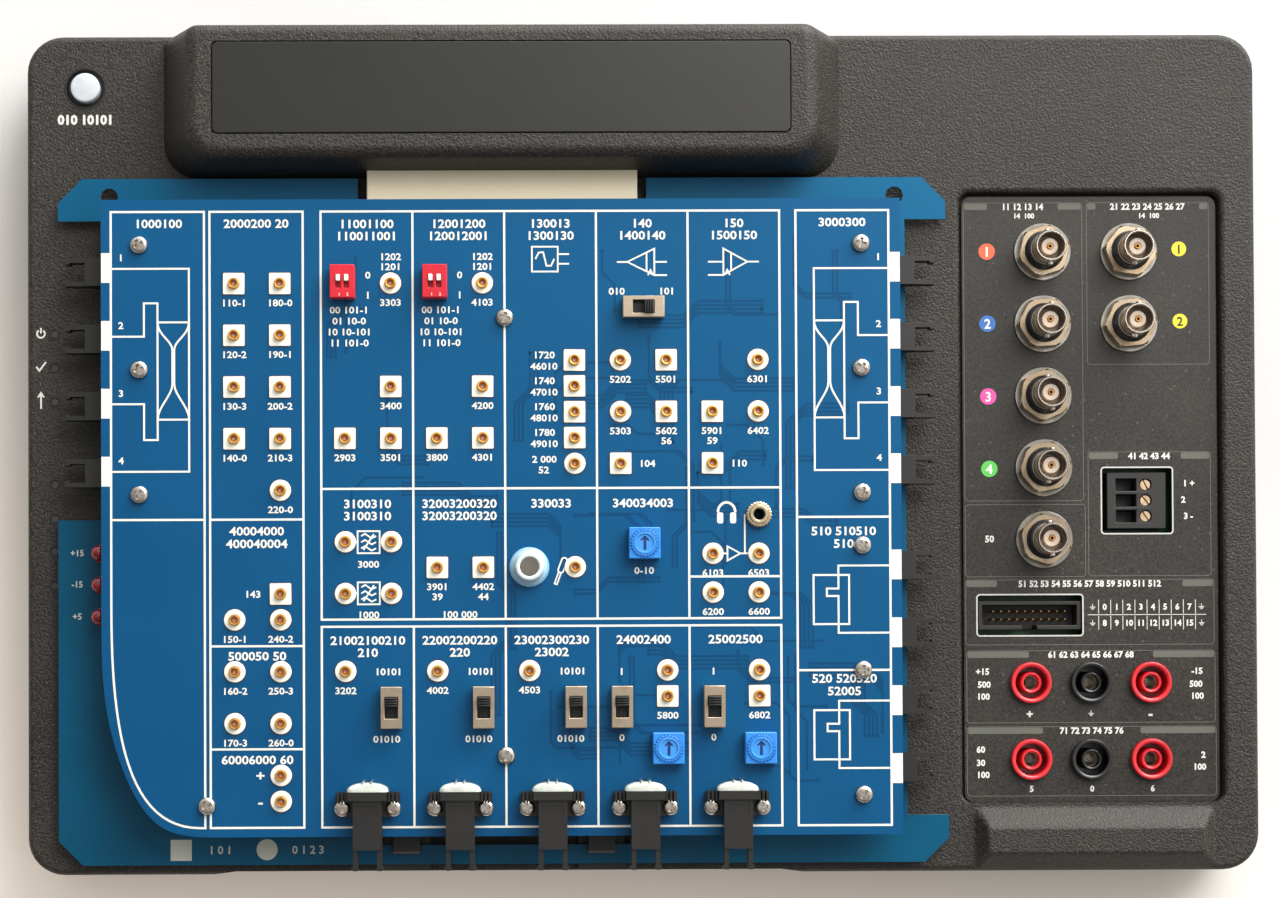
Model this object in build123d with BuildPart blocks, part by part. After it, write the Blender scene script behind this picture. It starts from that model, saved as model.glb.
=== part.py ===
from build123d import *
import os

os.makedirs("parts", exist_ok=True)

# Communications trainer board docked on its bench console.
# Millimetres. +X is right, +Y is toward the header housing at the back, +Z is up.
# The origin is the middle of the console's footprint, on the table.

# Console shells
console_length = 389.0
console_depth = 265.2
console_corner = 11.5
foot_height = 2.5
split_height = 14.0
plateau_height = 32.0
shell_wall = 2.5
edge_chamfer = 1.8
base_chamfer = 2.4
cavity_corner = 6.0

# Fits
running_gap = 0.3
fit_gap = 0.05
seat_gap = 0.1

# Sides of the rounds that repeat, by their size
bore_sides = 16
round_sides = 10
small_sides = 8
few_sides = 6

# Centre line of header, board socket and trainer board, from the console's left side
dock_inset = 150.2

# Header housing over the board socket
header_top_length = 193.4
header_rise = 23.0
header_depth = 45.6
header_side_draft = 0.44
header_front_draft = 0.14
header_back_draft = 0.12
header_corner = 12.0
header_back_corner = 4.0
header_edge_chamfer = 2.0
header_plate_size = (178.1, 28.2)
header_plate_inset = 21.3
header_plate_corner = 1.5
header_plate_depth = 1.0

# Instrument recess, its panel and the guard ridge in front of it
panel_size = (81.0, 192.4)
panel_side_inset = 52.5
panel_front_inset = 21.5
panel_corner = 3.0
panel_drop = 2.4
panel_thickness = 2.0
panel_ledge = 3.0
ridge_length = 68.8
ridge_rise = 7.4
ridge_top_offsets = (-15.8, -7.6)
ridge_foot_depth = 21.2
ridge_side_draft = 0.76
ridge_chamfer = 1.2

# Case bosses, feet and the console's circuit board
boss_inset = (6.0, 12.6)
boss_back_inset = 32.6
boss_middle = (76.0, 5.6)
boss_radius = 4.0
foot_inset = 24.5
foot_radius = 7.5
foot_seat = 0.6
circuit_inset = (4.0, 2.6)
circuit_margin = 5.7
circuit_thickness = 1.6
circuit_height = 18.0
circuit_post_radius = 3.0
circuit_post_inset = (40.0, 12.0)

# BNC jacks, placed from the panel's centre
bnc_pitch = 22.86
bnc_columns = ((-14.8, 5), (12.7, 2))
bnc_top = 78.5
bnc_body_radius = 6.2
bnc_washer = (9.1, 0.8)
bnc_nut = (7.15, 3.0)
bnc_body_rise = 5.9
bnc_barrel_radius = 4.85
bnc_barrel_bore = 4.1
bnc_barrel_rise = 14.8
bnc_barrel_seat = 5.6
bnc_barrel_floor = 4.0
bnc_lug_radius = 1.0
bnc_lug_reach = 0.75
bnc_lug_drop = 4.2
bnc_dielectric_radius = 2.6
bnc_dielectric_drop = 2.6
bnc_contact_radius = 0.8
bnc_contact_bore = 0.45

# Safety banana sockets, placed from the panel's centre
banana_pitch = 19.05
banana_shift = -0.4
banana_rows = (-58.3, -82.6)
banana_flange = (6.5, 2.4)
banana_body_radius = 5.7
banana_shroud_groove = (5.0, 3.3)
banana_groove_depth = 12.0
banana_length = 22.0
banana_contact_radius = 2.6
banana_bore = 2.0
banana_floor = 2.0

# Box header
logic_offset = (-19.4, -36.9)
logic_window = (33.2, 12.6)
logic_shell = (32.6, 9.0)
logic_wall = 1.3
logic_drop = 0.8
logic_shell_floor = 2.0
pin_pitch = 2.54
pin_width = 0.64
pin_columns = 10
logic_notch = 4.6

# Terminal block
terminal_offset = (14.9, -0.6)
terminal_window = (22.2, 20.6)
terminal_size = (18.8, 17.9)
terminal_drop = 0.8
terminal_pitch = 5.0
terminal_entry = (6.4, 3.9)
terminal_entry_x = -3.3
terminal_entry_depth = 6.0
terminal_screw_x = 2.9
terminal_screw_radius = 1.75
terminal_screw_length = 2.8
terminal_screw_drop = 0.4
terminal_slot = (0.6, 0.9)

# Power button, its switch and spring
button_inset = (18.6, 16.6)
button_radius = 4.6
button_rise = 1.4
button_flange = (5.8, 1.4)
button_stem_radius = 2.0
button_travel = 2.0
button_ring = (6.1, 0.8)
switch_width = 12.0
switch_height = 4.4
spring_wire = 0.5

# Status lights, rows measured from the console's back
status_inset = 8.8
status_rows = (94.5, 105.2, 115.9, 142.0, 152.8, 163.1, 174.0)
status_radius = 1.25

# Board socket, a cream edge connector in the header's mouth
socket_length = 84.8
socket_reach = 9.0
socket_depth = 26.0
socket_drop = 1.5
socket_rise = 8.0
socket_tail_depth = 10.0
socket_slot_length = 82.4
socket_slot_height = 3.4
socket_slot_depth = 9.6
contact_count = 16
contact_pitch = 5.08
contact_width = 1.2
contact_thickness = 0.7
contact_length = 8.4

# Rear sockets, measured from the console's right side
power_inlet_inset = 74.5
power_inlet_size = (9.0, 12.0, 9.4)
power_inlet_bore = (3.2, 9.0)
power_inlet_pin = 1.0
data_socket_inset = 102.5
data_socket_size = (9.0, 8.0, 3.3)
data_socket_wall = 0.35
rear_inset = 0.8

# Main board, measured from the dock's centre line and the board's back edge
board_thickness = 1.6
board_lift = 2.4
main_half_length = 139.7
main_depth = 215.7
main_chamfer = 7.6
wing_depth = 13.3
left_waist = 13.7
left_waist_front = 107.4
right_waist = 12.9
right_waist_front = 200.9
tongue_length = 80.0
tongue_reach = 8.0
tongue_inset = 0.5
notch_length = 90.8
notch_depth = 11.5
board_hole_radius = 2.8
board_hole_inset = (16.1, 5.7)
slot_length = 81.4
slot_span = (187.7, 209.7)

# Panel board
spacer_height = 12.0
panel_board_left = 124.1
panel_board_right = 123.3
panel_board_span = (8.9, 206.0)
curve_start_drop = 133.5
curve_end_x = 89.7

# Spacers: side columns by their drops from the board's back edge, then single ones
spacer_left = 112.2
spacer_right = 111.1
spacer_left_drops = (23.0, 61.6, 100.2)
spacer_right_drops = (23.0, 61.6, 100.2, 116.6, 155.1, 193.6)
spacer_singles = ((0.7, 45.8), (0.7, 181.2), (-91.6, 196.3))
spacer_width = 5.5

# Grid that the panel board's parts stand on
column_pitch = 14.2
first_column = -48.8
io_columns = (-83.0, -68.8)
row_pitch = 8.0
first_row = 35.0

# Rows of the patch sockets, in each column
io_left_rows = (0, 2, 4, 6, 13, 15, 17)
io_right_rows = (0, 2, 4, 6, 8, 12, 13, 15, 17, 19, 20)
column_rows = (
    (6, 10, 12, 15),
    (0, 4, 6, 10, 12),
    (6, 11, 15),
    (0, 4, 6, 11),
    (15,),
    (3, 4, 5, 6, 7, 11),
    (3, 5, 7),
    (3, 5, 15, 16),
    (5, 7, 10.5, 12),
    (3, 5, 10.5, 12, 15, 16),
)
patch_radius = 1.5
patch_bore = 1.1
patch_rise = 2.2
patch_depth = 1.8

# DIP switches
dip_columns = (0, 2)
dip_row = 0
dip_shift = -0.4
dip_size = (7.6, 10.2, 5.8)
dip_lever_pitch = 2.54
dip_window_depth = 2.0
dip_lever = (1.3, 2.0)
dip_lever_rise = 0.6
dip_travel = 2.0

# Slide switches
slide_columns = (1, 3, 5, 6, 8)
slide_row = 16.4
coder_switch = (6.5, 1.0)
slide_size = (6.6, 12.9)
slide_frame_height = 4.4
slide_frame_wall = 0.5
slide_base_height = 3.0
slide_base_foot = 0.6
slide_knob = (3.8, 3.0)
slide_knob_rise = 2.6
slide_travel = 3.3

# Trimmers
trimmer_places = ((6.5, 10.1), (7, 18.0), (9, 18.0))
trimmer_width = 9.7
trimmer_height = 4.8
trimmer_well = (3.7, 3.0)
trimmer_rotor_radius = 3.4
trimmer_rotor_height = 3.4
trimmer_dish = (2.8, 0.5)
trimmer_slot = (0.9, 4.6, 0.8)

# Headphone jack and microphone
jack_column = 9
jack_row = 9
jack_body = (8.4, 9.6)
jack_barrel_radius = 2.95
jack_rise = 2.8
jack_bore = 1.75
jack_nut = (4.0, 2.0)
microphone_column = 4
microphone_row = 11
microphone_skirt = (6.2, 1.0)
microphone_boot = (4.9, 4.15, 4.0)
microphone_capsule = 2.9
microphone_capsule_drop = 0.6

# Fibre modules along the front edge, their bars set back from the board's front edge
module_pitch = 28.4
module_first = -41.9
module_count = 5
module_bar = (12.0, 2.6, 8.8)
module_bar_inset = 14.1
module_ear = (19.6, 7.6, 3.0)
module_ear_shift = -4.0

# Stem with two latch legs, shared by the front modules and the side housings
stem_width = 8.8
stem_height = 6.8
stem_length = 15.1
stem_lift = 1.0
leg_width = 1.45
leg_length = 6.4
leg_height = 5.2
leg_hook = (0.5, 1.6)
port_size = (6.0, 4.8)
port_depth = 9.0

# Side fibre housings: how far their tips reach, and their drops from the board's back edge
left_housing_reach = 136.6
right_housing_reach = 135.3
left_housing_drops = (30.2, 51.1, 72.1, 93.0)
right_housing_drops = (30.3, 51.1, 72.0, 92.8, 122.6, 143.6, 164.6, 185.6)
housing_length = 13.8

# Supply lights on the main board
led_offset = -126.0
led_drops = (117.9, 127.9, 137.9)
led_radius = 2.5
led_flange = (2.9, 1.0)
led_height = 8.4
led_chamfer = 0.8

# Latches that hold the board's front edge down
latch_offsets = (-30.7, 30.3)
latch_plate = (14.8, 16.9, 1.9)
latch_overhang = 2.2
latch_travel = 3.0
latch_hook = (8.5, 3.2)
latch_lip = 2.6
latch_stem_depth = 4.4
latch_neck = (6.0, 6.0)
latch_neck_inset = 8.2
latch_foot = (10.0, 9.0, 1.6)

# Pads that carry the board
pad_offsets = (-65.7, 69.3)
pad_drops = (30.5, 106.5, 184.5)
pad_radius = 4.0

# Derived places on the console
cavity_top = plateau_height - shell_wall
circuit_top = circuit_height + circuit_thickness
header_top_height = plateau_height + header_rise
dock_x = dock_inset - console_length / 2
header_front_y = console_depth / 2 - header_depth
header_plate_center = (dock_x, console_depth / 2 - header_plate_inset)
panel_face = plateau_height - panel_drop
panel_back_face = panel_face - panel_thickness
panel_x = console_length / 2 - panel_side_inset
panel_front = panel_front_inset - console_depth / 2
panel_center = (panel_x, panel_front + panel_size[1] / 2)
ridge_top_height = panel_face + ridge_rise
boss_x = console_length / 2 - boss_inset[0]
boss_front = boss_inset[1] - console_depth / 2
boss_back = console_depth / 2 - boss_back_inset
boss_places = [(x, y) for x in (-boss_x, boss_x) for y in (boss_front, boss_back)]
boss_middle_y = console_depth / 2 - boss_middle[1]
boss_places += [(boss_middle[0], y) for y in (-boss_middle_y, boss_middle_y)]
foot_x = console_length / 2 - foot_inset
foot_y = console_depth / 2 - foot_inset
foot_places = [(x, y) for x in (-foot_x, foot_x) for y in (-foot_y, foot_y)]
circuit_half_length = console_length / 2 - shell_wall - circuit_inset[0]
circuit_back = console_depth / 2 - shell_wall - circuit_inset[1]
bnc_places = [
    (panel_x + x, panel_center[1] + bnc_top - k * bnc_pitch) for x, count in bnc_columns for k in range(count)
]
banana_x = panel_x + banana_shift
banana_y = [panel_center[1] + row for row in banana_rows]
banana_red = [(banana_x + side * banana_pitch, y) for side in (-1, 1) for y in banana_y]
banana_black = [(banana_x, y) for y in banana_y]
banana_foot = panel_face - banana_length
logic_center = (panel_x + logic_offset[0], panel_center[1] + logic_offset[1])
logic_shell_top = panel_face - logic_drop
circuit_front = logic_center[1] - logic_shell[1] / 2 - circuit_margin
post_x = circuit_half_length - circuit_post_inset[0]
post_y = (circuit_front + circuit_post_inset[1], circuit_back - 5 * circuit_post_inset[1])
circuit_post_places = [(x, y) for x in (-post_x, 0.0, post_x / 2) for y in post_y]
terminal_center = (panel_x + terminal_offset[0], panel_center[1] + terminal_offset[1])
terminal_top = panel_face - terminal_drop
button_place = (button_inset[0] - console_length / 2, console_depth / 2 - button_inset[1])
status_places = [(status_inset - console_length / 2, console_depth / 2 - row) for row in status_rows]
socket_front = header_front_y - socket_reach
socket_back = socket_front + socket_depth
socket_tail_front = socket_back - socket_tail_depth
socket_bottom = plateau_height - socket_drop
socket_top = plateau_height + socket_rise
power_inlet_x = console_length / 2 - power_inlet_inset
data_socket_x = console_length / 2 - data_socket_inset
bnc_barrel_foot = panel_face - bnc_barrel_seat
bnc_barrel_inside = bnc_barrel_foot + bnc_barrel_floor
bnc_barrel_top = panel_face + bnc_barrel_rise

# Derived places on the trainer board
main_bottom = plateau_height + board_lift
main_top = main_bottom + board_thickness
tongue_end = socket_front + tongue_reach
main_back = tongue_end + tongue_inset
notch_root = main_back - notch_depth
main_front = main_back - main_depth
main_left = dock_x - main_half_length
main_right = dock_x + main_half_length
slot_left = dock_x - slot_length / 2
slot_right = dock_x + slot_length / 2
slot_back = main_back - slot_span[0]
slot_front = main_back - slot_span[1]
slot_middle = main_top - board_thickness / 2
panel_board_bottom = main_top + spacer_height
panel_board_top = panel_board_bottom + board_thickness
spacer_places = [(dock_x - spacer_left, main_back - drop) for drop in spacer_left_drops]
spacer_places += [(dock_x + spacer_right, main_back - drop) for drop in spacer_right_drops]
spacer_places += [(dock_x + x, main_back - drop) for x, drop in spacer_singles]
slide_frame_top = panel_board_top + slide_base_foot + slide_frame_height
slide_window = (slide_knob[0] + 2 * seat_gap, slide_knob[1] + slide_travel + 2 * seat_gap)
dip_top = panel_board_top + dip_size[2]
dip_window = (dip_lever[0] + 2 * seat_gap, dip_lever[1] + dip_travel + 2 * seat_gap)
module_x = [dock_x + module_first + module_pitch * k for k in range(module_count)]
module_bar_back = main_back - panel_board_span[1] + module_bar_inset
latch_x = [dock_x + offset for offset in latch_offsets]
latch_front = main_front - latch_overhang
latch_nose = slot_front - latch_lip
latch_neck_y = main_front + latch_neck_inset
pad_places = [(dock_x + x, main_back - drop) for x in pad_offsets for drop in pad_drops]


def grid(column, row):
    x = dock_x + first_column + column_pitch * column
    return (x, main_back - first_row - row_pitch * row)


def header_outline(height):
    length = header_top_length + 2 * header_side_draft * (header_top_height - height)
    front = header_front_y + header_front_draft * (height - plateau_height)
    back = console_depth / 2 - header_back_draft * (height - header_start)
    return length, front, back


# Header housing: side profile crossed with the front profile, corners rounded, top edge broken
header_start = plateau_height - shell_wall
foot_length, foot_front, foot_back = header_outline(header_start)
top_length, top_front, top_back = header_outline(header_top_height)
with BuildPart() as header_block:
    with BuildSketch(Plane.YZ.offset(dock_x - foot_length / 2)):
        with BuildLine():
            Polyline(
                (foot_front, header_start),
                (top_front, header_top_height),
                (top_back, header_top_height),
                (foot_back, header_start),
                close=True,
            )
        make_face()
    extrude(amount=foot_length)
    with BuildSketch(Plane.XZ.offset(-console_depth / 2)):
        with BuildLine():
            Polyline(
                (dock_x - foot_length / 2, header_start),
                (dock_x - top_length / 2, header_top_height),
                (dock_x + top_length / 2, header_top_height),
                (dock_x + foot_length / 2, header_start),
                close=True,
            )
        make_face()
    extrude(amount=2 * header_depth, mode=Mode.INTERSECT)
    side_edges = header_block.edges().filter_by(lambda e: e.bounding_box().size.Z > header_rise)
    fillet(side_edges.group_by(Axis.Y)[0], header_corner)
    side_edges = header_block.edges().filter_by(lambda e: e.bounding_box().size.Z > header_rise)
    fillet(side_edges.group_by(Axis.Y)[-1], header_back_corner)
    chamfer(header_block.faces().sort_by(Axis.Z)[-1].edges(), header_edge_chamfer)

# Console top shell: plateau, header housing, instrument recess and guard ridge
with BuildPart() as console_top_shell:
    with BuildSketch(Plane.XY.offset(split_height)):
        RectangleRounded(console_length, console_depth, console_corner)
    extrude(amount=plateau_height - split_height)
    chamfer(console_top_shell.faces().sort_by(Axis.Z)[-1].edges(), edge_chamfer)
    add(header_block.part)
    with BuildSketch(Plane.XY.offset(split_height)) as cavity_outline:
        Rectangle(console_length - 2 * shell_wall, console_depth - 2 * shell_wall)
        chamfer(cavity_outline.vertices(), cavity_corner)
    extrude(amount=cavity_top - split_height, mode=Mode.SUBTRACT)
    for height in (header_start, header_top_height - shell_wall):
        length, front, back = header_outline(height)
        with BuildSketch(Plane.XY.offset(height)):
            with Locations((dock_x, (front + back) / 2)):
                Rectangle(length - 2 * header_corner, back - front - 2 * shell_wall)
    loft(ruled=True, mode=Mode.SUBTRACT)
    # Recess in the header's top for the inset plate
    with BuildSketch(Plane.XY.offset(header_top_height - header_plate_depth)) as seat_outline:
        with Locations(header_plate_center):
            plate_length = header_plate_size[0] + 2 * running_gap
            plate_depth = header_plate_size[1] + 2 * running_gap
            Rectangle(plate_length, plate_depth)
        chamfer(seat_outline.vertices(), header_plate_corner)
    extrude(amount=header_plate_depth, mode=Mode.SUBTRACT)
    # Frame under the plateau that carries the instrument panel
    with BuildSketch(Plane.XY.offset(panel_back_face - shell_wall)):
        with Locations(panel_center):
            Rectangle(panel_size[0] + 2 * panel_ledge, panel_size[1] + 2 * panel_ledge)
    extrude(amount=cavity_top - panel_back_face + shell_wall)
    # Guard ridge with hipped ends
    with BuildSketch(Plane.XY.offset(panel_face)):
        with Locations((panel_x, panel_front - ridge_foot_depth / 2)):
            Rectangle(ridge_length + 2 * ridge_side_draft * ridge_rise, ridge_foot_depth)
    with BuildSketch(Plane.XY.offset(ridge_top_height)):
        with Locations((panel_x, panel_front + sum(ridge_top_offsets) / 2)):
            Rectangle(ridge_length, ridge_top_offsets[1] - ridge_top_offsets[0])
    loft(ruled=True)
    chamfer(console_top_shell.edges().filter_by(
        lambda e: abs(e.center().Z - ridge_top_height) < seat_gap), ridge_chamfer)
    # Flared recess, panel seat and window
    with BuildSketch(Plane.XY.offset(panel_face)):
        with Locations(panel_center):
            RectangleRounded(*panel_size, panel_corner)
    with BuildSketch(Plane.XY.offset(plateau_height)):
        with Locations((panel_x, panel_center[1] + panel_drop / 2)):
            RectangleRounded(panel_size[0] + 2 * panel_drop, panel_size[1] + panel_drop, panel_corner)
    loft(ruled=True, mode=Mode.SUBTRACT)
    with BuildSketch(Plane.XY.offset(panel_back_face)):
        with Locations(panel_center):
            RectangleRounded(*panel_size, panel_corner)
    extrude(amount=panel_thickness, mode=Mode.SUBTRACT)
    with BuildSketch(Plane.XY.offset(panel_back_face - shell_wall)):
        with Locations(panel_center):
            Rectangle(panel_size[0] - 2 * panel_ledge, panel_size[1] - 2 * panel_ledge)
    extrude(amount=shell_wall, mode=Mode.SUBTRACT)
    # Bosses of the case
    with BuildSketch(Plane.XY.offset(split_height)):
        with Locations(*boss_places):
            RegularPolygon(boss_radius, few_sides)
    extrude(amount=cavity_top - split_height)
    # Pads that the trainer board rests on
    with BuildSketch(Plane.XY.offset(plateau_height)):
        with Locations(*pad_places):
            RegularPolygon(pad_radius, few_sides)
    extrude(amount=main_bottom - seat_gap - plateau_height)
    # Mouth of the board socket
    with BuildSketch(Plane.XY.offset(socket_bottom - seat_gap)):
        mouth_back = header_front_y + 2 * header_corner
        with Locations((dock_x, (socket_front - running_gap + mouth_back) / 2)):
            mouth_depth = mouth_back - socket_front + running_gap
            Rectangle(socket_length + 2 * running_gap, mouth_depth)
    extrude(amount=socket_top - socket_bottom + seat_gap + running_gap, mode=Mode.SUBTRACT)
    with BuildSketch(Plane.XY.offset(circuit_top)):
        with Locations((dock_x, (socket_tail_front + socket_back) / 2)):
            tail_depth = socket_back - socket_tail_front + 2 * running_gap
            Rectangle(socket_length + 2 * running_gap, tail_depth)
    extrude(amount=socket_bottom - circuit_top, mode=Mode.SUBTRACT)
    # Power button hole with its seat ring, and the status light holes
    with BuildSketch(Plane.XY.offset(cavity_top)):
        with Locations(button_place):
            RegularPolygon(button_radius + running_gap, 2 * round_sides)
        with Locations(*status_places):
            RegularPolygon(status_radius + seat_gap, few_sides)
    extrude(amount=shell_wall, mode=Mode.SUBTRACT)
    with BuildSketch(Plane.XY.offset(plateau_height - button_ring[1])):
        with Locations(button_place):
            RegularPolygon(button_ring[0], 2 * round_sides)
    extrude(amount=button_ring[1], mode=Mode.SUBTRACT)
    # Guide slots of the latches
    with BuildSketch(Plane.XY.offset(cavity_top)):
        with Locations(*[(x, latch_neck_y + latch_travel / 2) for x in latch_x]):
            slot_run = latch_neck[1] + latch_travel + 2 * running_gap
            Rectangle(latch_neck[0] + 2 * running_gap, slot_run)
    extrude(amount=shell_wall, mode=Mode.SUBTRACT)
    # Rear openings
    with BuildSketch(Plane.XY.offset(circuit_top)):
        with Locations((power_inlet_x, console_depth / 2)):
            Rectangle(power_inlet_size[0] + 2 * running_gap, 4 * shell_wall)
    extrude(amount=power_inlet_size[2] + seat_gap, mode=Mode.SUBTRACT)
    with BuildSketch(Plane.XY.offset(circuit_top)):
        with Locations((data_socket_x, console_depth / 2)):
            Rectangle(data_socket_size[0] + 2 * running_gap, 4 * shell_wall)
    extrude(amount=data_socket_size[2] + running_gap, mode=Mode.SUBTRACT)
console_top_shell.part.label = "console_top_shell"
export_step(console_top_shell.part, "parts/console_top_shell.step")

# Console bottom shell: tray with floor, bosses, board posts and foot seats
floor_top = foot_height + shell_wall
with BuildPart() as console_bottom_shell:
    with BuildSketch(Plane.XY.offset(foot_height)):
        RectangleRounded(console_length, console_depth, console_corner)
    extrude(amount=split_height - foot_height)
    chamfer(console_bottom_shell.faces().sort_by(Axis.Z)[0].edges(), base_chamfer)
    with BuildSketch(Plane.XY.offset(floor_top)) as tray_outline:
        Rectangle(console_length - 2 * shell_wall, console_depth - 2 * shell_wall)
        chamfer(tray_outline.vertices(), cavity_corner)
    extrude(amount=split_height - floor_top, mode=Mode.SUBTRACT)
    with BuildSketch(Plane.XY.offset(floor_top)):
        with Locations(*boss_places):
            RegularPolygon(boss_radius, few_sides)
    extrude(amount=split_height - floor_top)
    with BuildSketch(Plane.XY.offset(floor_top)):
        with Locations(*circuit_post_places):
            RegularPolygon(circuit_post_radius, few_sides)
    extrude(amount=circuit_height - floor_top)
    with BuildSketch(Plane.XY.offset(foot_height)):
        with Locations(*foot_places):
            RegularPolygon(foot_radius + seat_gap, round_sides)
    extrude(amount=foot_seat, mode=Mode.SUBTRACT)
console_bottom_shell.part.label = "console_bottom_shell"
export_step(console_bottom_shell.part, "parts/console_bottom_shell.step")

with BuildPart() as rubber_feet:
    with BuildSketch():
        with Locations(*foot_places):
            RegularPolygon(foot_radius, round_sides)
    extrude(amount=foot_height + foot_seat)
rubber_feet.part.label = "rubber_feet"
export_step(rubber_feet.part, "parts/rubber_feet.step")

with BuildPart() as header_plate:
    with BuildSketch(Plane.XY.offset(header_top_height - header_plate_depth)) as plate_outline:
        with Locations(header_plate_center):
            Rectangle(*header_plate_size)
        chamfer(plate_outline.vertices(), header_plate_corner - running_gap)
    extrude(amount=header_plate_depth)
header_plate.part.label = "header_plate"
export_step(header_plate.part, "parts/header_plate.step")

# Instrument panel with the jack holes and two windows
with BuildPart() as instrument_panel:
    with BuildSketch(Plane.XY.offset(panel_back_face)):
        with Locations(panel_center):
            panel_inset = 2 * seat_gap
            RectangleRounded(panel_size[0] - panel_inset, panel_size[1] - panel_inset, panel_corner)
        with Locations(*bnc_places):
            hole = bnc_body_radius + running_gap
            RegularPolygon(hole, small_sides, major_radius=False, mode=Mode.SUBTRACT)
        with Locations(*banana_red, *banana_black):
            hole = banana_body_radius + seat_gap
            RegularPolygon(hole, small_sides, major_radius=False, mode=Mode.SUBTRACT)
        with Locations(logic_center):
            Rectangle(*logic_window, mode=Mode.SUBTRACT)
        with Locations(terminal_center):
            Rectangle(*terminal_window, mode=Mode.SUBTRACT)
    extrude(amount=panel_thickness)
instrument_panel.part.label = "instrument_panel"
export_step(instrument_panel.part, "parts/instrument_panel.step")

with BuildPart() as console_circuit_board:
    with BuildSketch(Plane.XY.offset(circuit_height)):
        with Locations((0, (circuit_front + circuit_back) / 2)):
            Rectangle(2 * circuit_half_length, circuit_back - circuit_front)
        with Locations(*boss_places):
            RegularPolygon(boss_radius + 1, few_sides, mode=Mode.SUBTRACT)
    extrude(amount=circuit_thickness)
console_circuit_board.part.label = "console_circuit_board"
export_step(console_circuit_board.part, "parts/console_circuit_board.step")

# BNC jacks: insulated necks that stand on the circuit board and pass through the panel
with BuildPart() as bnc_bodies:
    with BuildSketch(Plane.XY.offset(circuit_top)):
        with Locations(*bnc_places):
            RegularPolygon(bnc_body_radius, small_sides)
    extrude(amount=panel_face + bnc_body_rise - circuit_top)
    with BuildSketch(Plane.XY.offset(bnc_barrel_foot)):
        with Locations(*bnc_places):
            RegularPolygon(bnc_barrel_radius + fit_gap, small_sides, major_radius=False)
    extrude(amount=bnc_barrel_rise + bnc_barrel_seat, mode=Mode.SUBTRACT)
bnc_bodies.part.label = "bnc_bodies"
export_step(bnc_bodies.part, "parts/bnc_bodies.step")

# Hexagon nuts with their washers
with BuildPart() as bnc_nuts:
    with BuildSketch(Plane.XY.offset(panel_face)):
        with Locations(*bnc_places):
            RegularPolygon(bnc_washer[0], round_sides)
    extrude(amount=bnc_washer[1])
    with BuildSketch(Plane.XY.offset(panel_face + bnc_washer[1])):
        with Locations(*bnc_places):
            RegularPolygon(bnc_nut[0], 6, major_radius=False)
    extrude(amount=bnc_nut[1])
    with BuildSketch(Plane.XY.offset(panel_face)):
        with Locations(*bnc_places):
            RegularPolygon(bnc_body_radius + fit_gap, small_sides, major_radius=False)
    extrude(amount=bnc_washer[1] + bnc_nut[1], mode=Mode.SUBTRACT)
bnc_nuts.part.label = "bnc_nuts"
export_step(bnc_nuts.part, "parts/bnc_nuts.step")

# Metal barrels with a closed foot and two bayonet lugs each
with BuildPart() as bnc_barrels:
    with BuildSketch(Plane.XY.offset(bnc_barrel_foot)):
        with Locations(*bnc_places):
            RegularPolygon(bnc_barrel_radius, round_sides)
    extrude(amount=bnc_barrel_top - bnc_barrel_foot)
    for side in (-1, 1):
        for x, y in bnc_places:
            lug_center = (x, y, bnc_barrel_top - bnc_lug_drop)
            with BuildSketch(Plane(lug_center, x_dir=(1, 0, 0), z_dir=(0, side, 0))):
                RegularPolygon(bnc_lug_radius, 4)
            extrude(amount=bnc_barrel_radius + bnc_lug_reach)
    with BuildSketch(Plane.XY.offset(bnc_barrel_inside)):
        with Locations(*bnc_places):
            RegularPolygon(bnc_barrel_bore, round_sides)
    extrude(amount=bnc_barrel_top - bnc_barrel_inside, mode=Mode.SUBTRACT)
bnc_barrels.part.label = "bnc_barrels"
export_step(bnc_barrels.part, "parts/bnc_barrels.step")

with BuildPart() as bnc_insulators:
    with BuildSketch(Plane.XY.offset(bnc_barrel_inside)):
        with Locations(*bnc_places):
            RegularPolygon(bnc_dielectric_radius, few_sides)
            RegularPolygon(bnc_contact_radius + fit_gap, 4, mode=Mode.SUBTRACT)
    extrude(amount=bnc_barrel_top - bnc_dielectric_drop - bnc_barrel_inside)
bnc_insulators.part.label = "bnc_insulators"
export_step(bnc_insulators.part, "parts/bnc_insulators.step")

with BuildPart() as bnc_contacts:
    with BuildSketch(Plane.XY.offset(bnc_barrel_inside)):
        with Locations(*bnc_places):
            RegularPolygon(bnc_contact_radius, 4)
            RegularPolygon(bnc_contact_bore, 4, mode=Mode.SUBTRACT)
    extrude(amount=bnc_barrel_top - bnc_dielectric_drop + running_gap - bnc_barrel_inside)
bnc_contacts.part.label = "bnc_contacts"
export_step(bnc_contacts.part, "parts/bnc_contacts.step")

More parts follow.
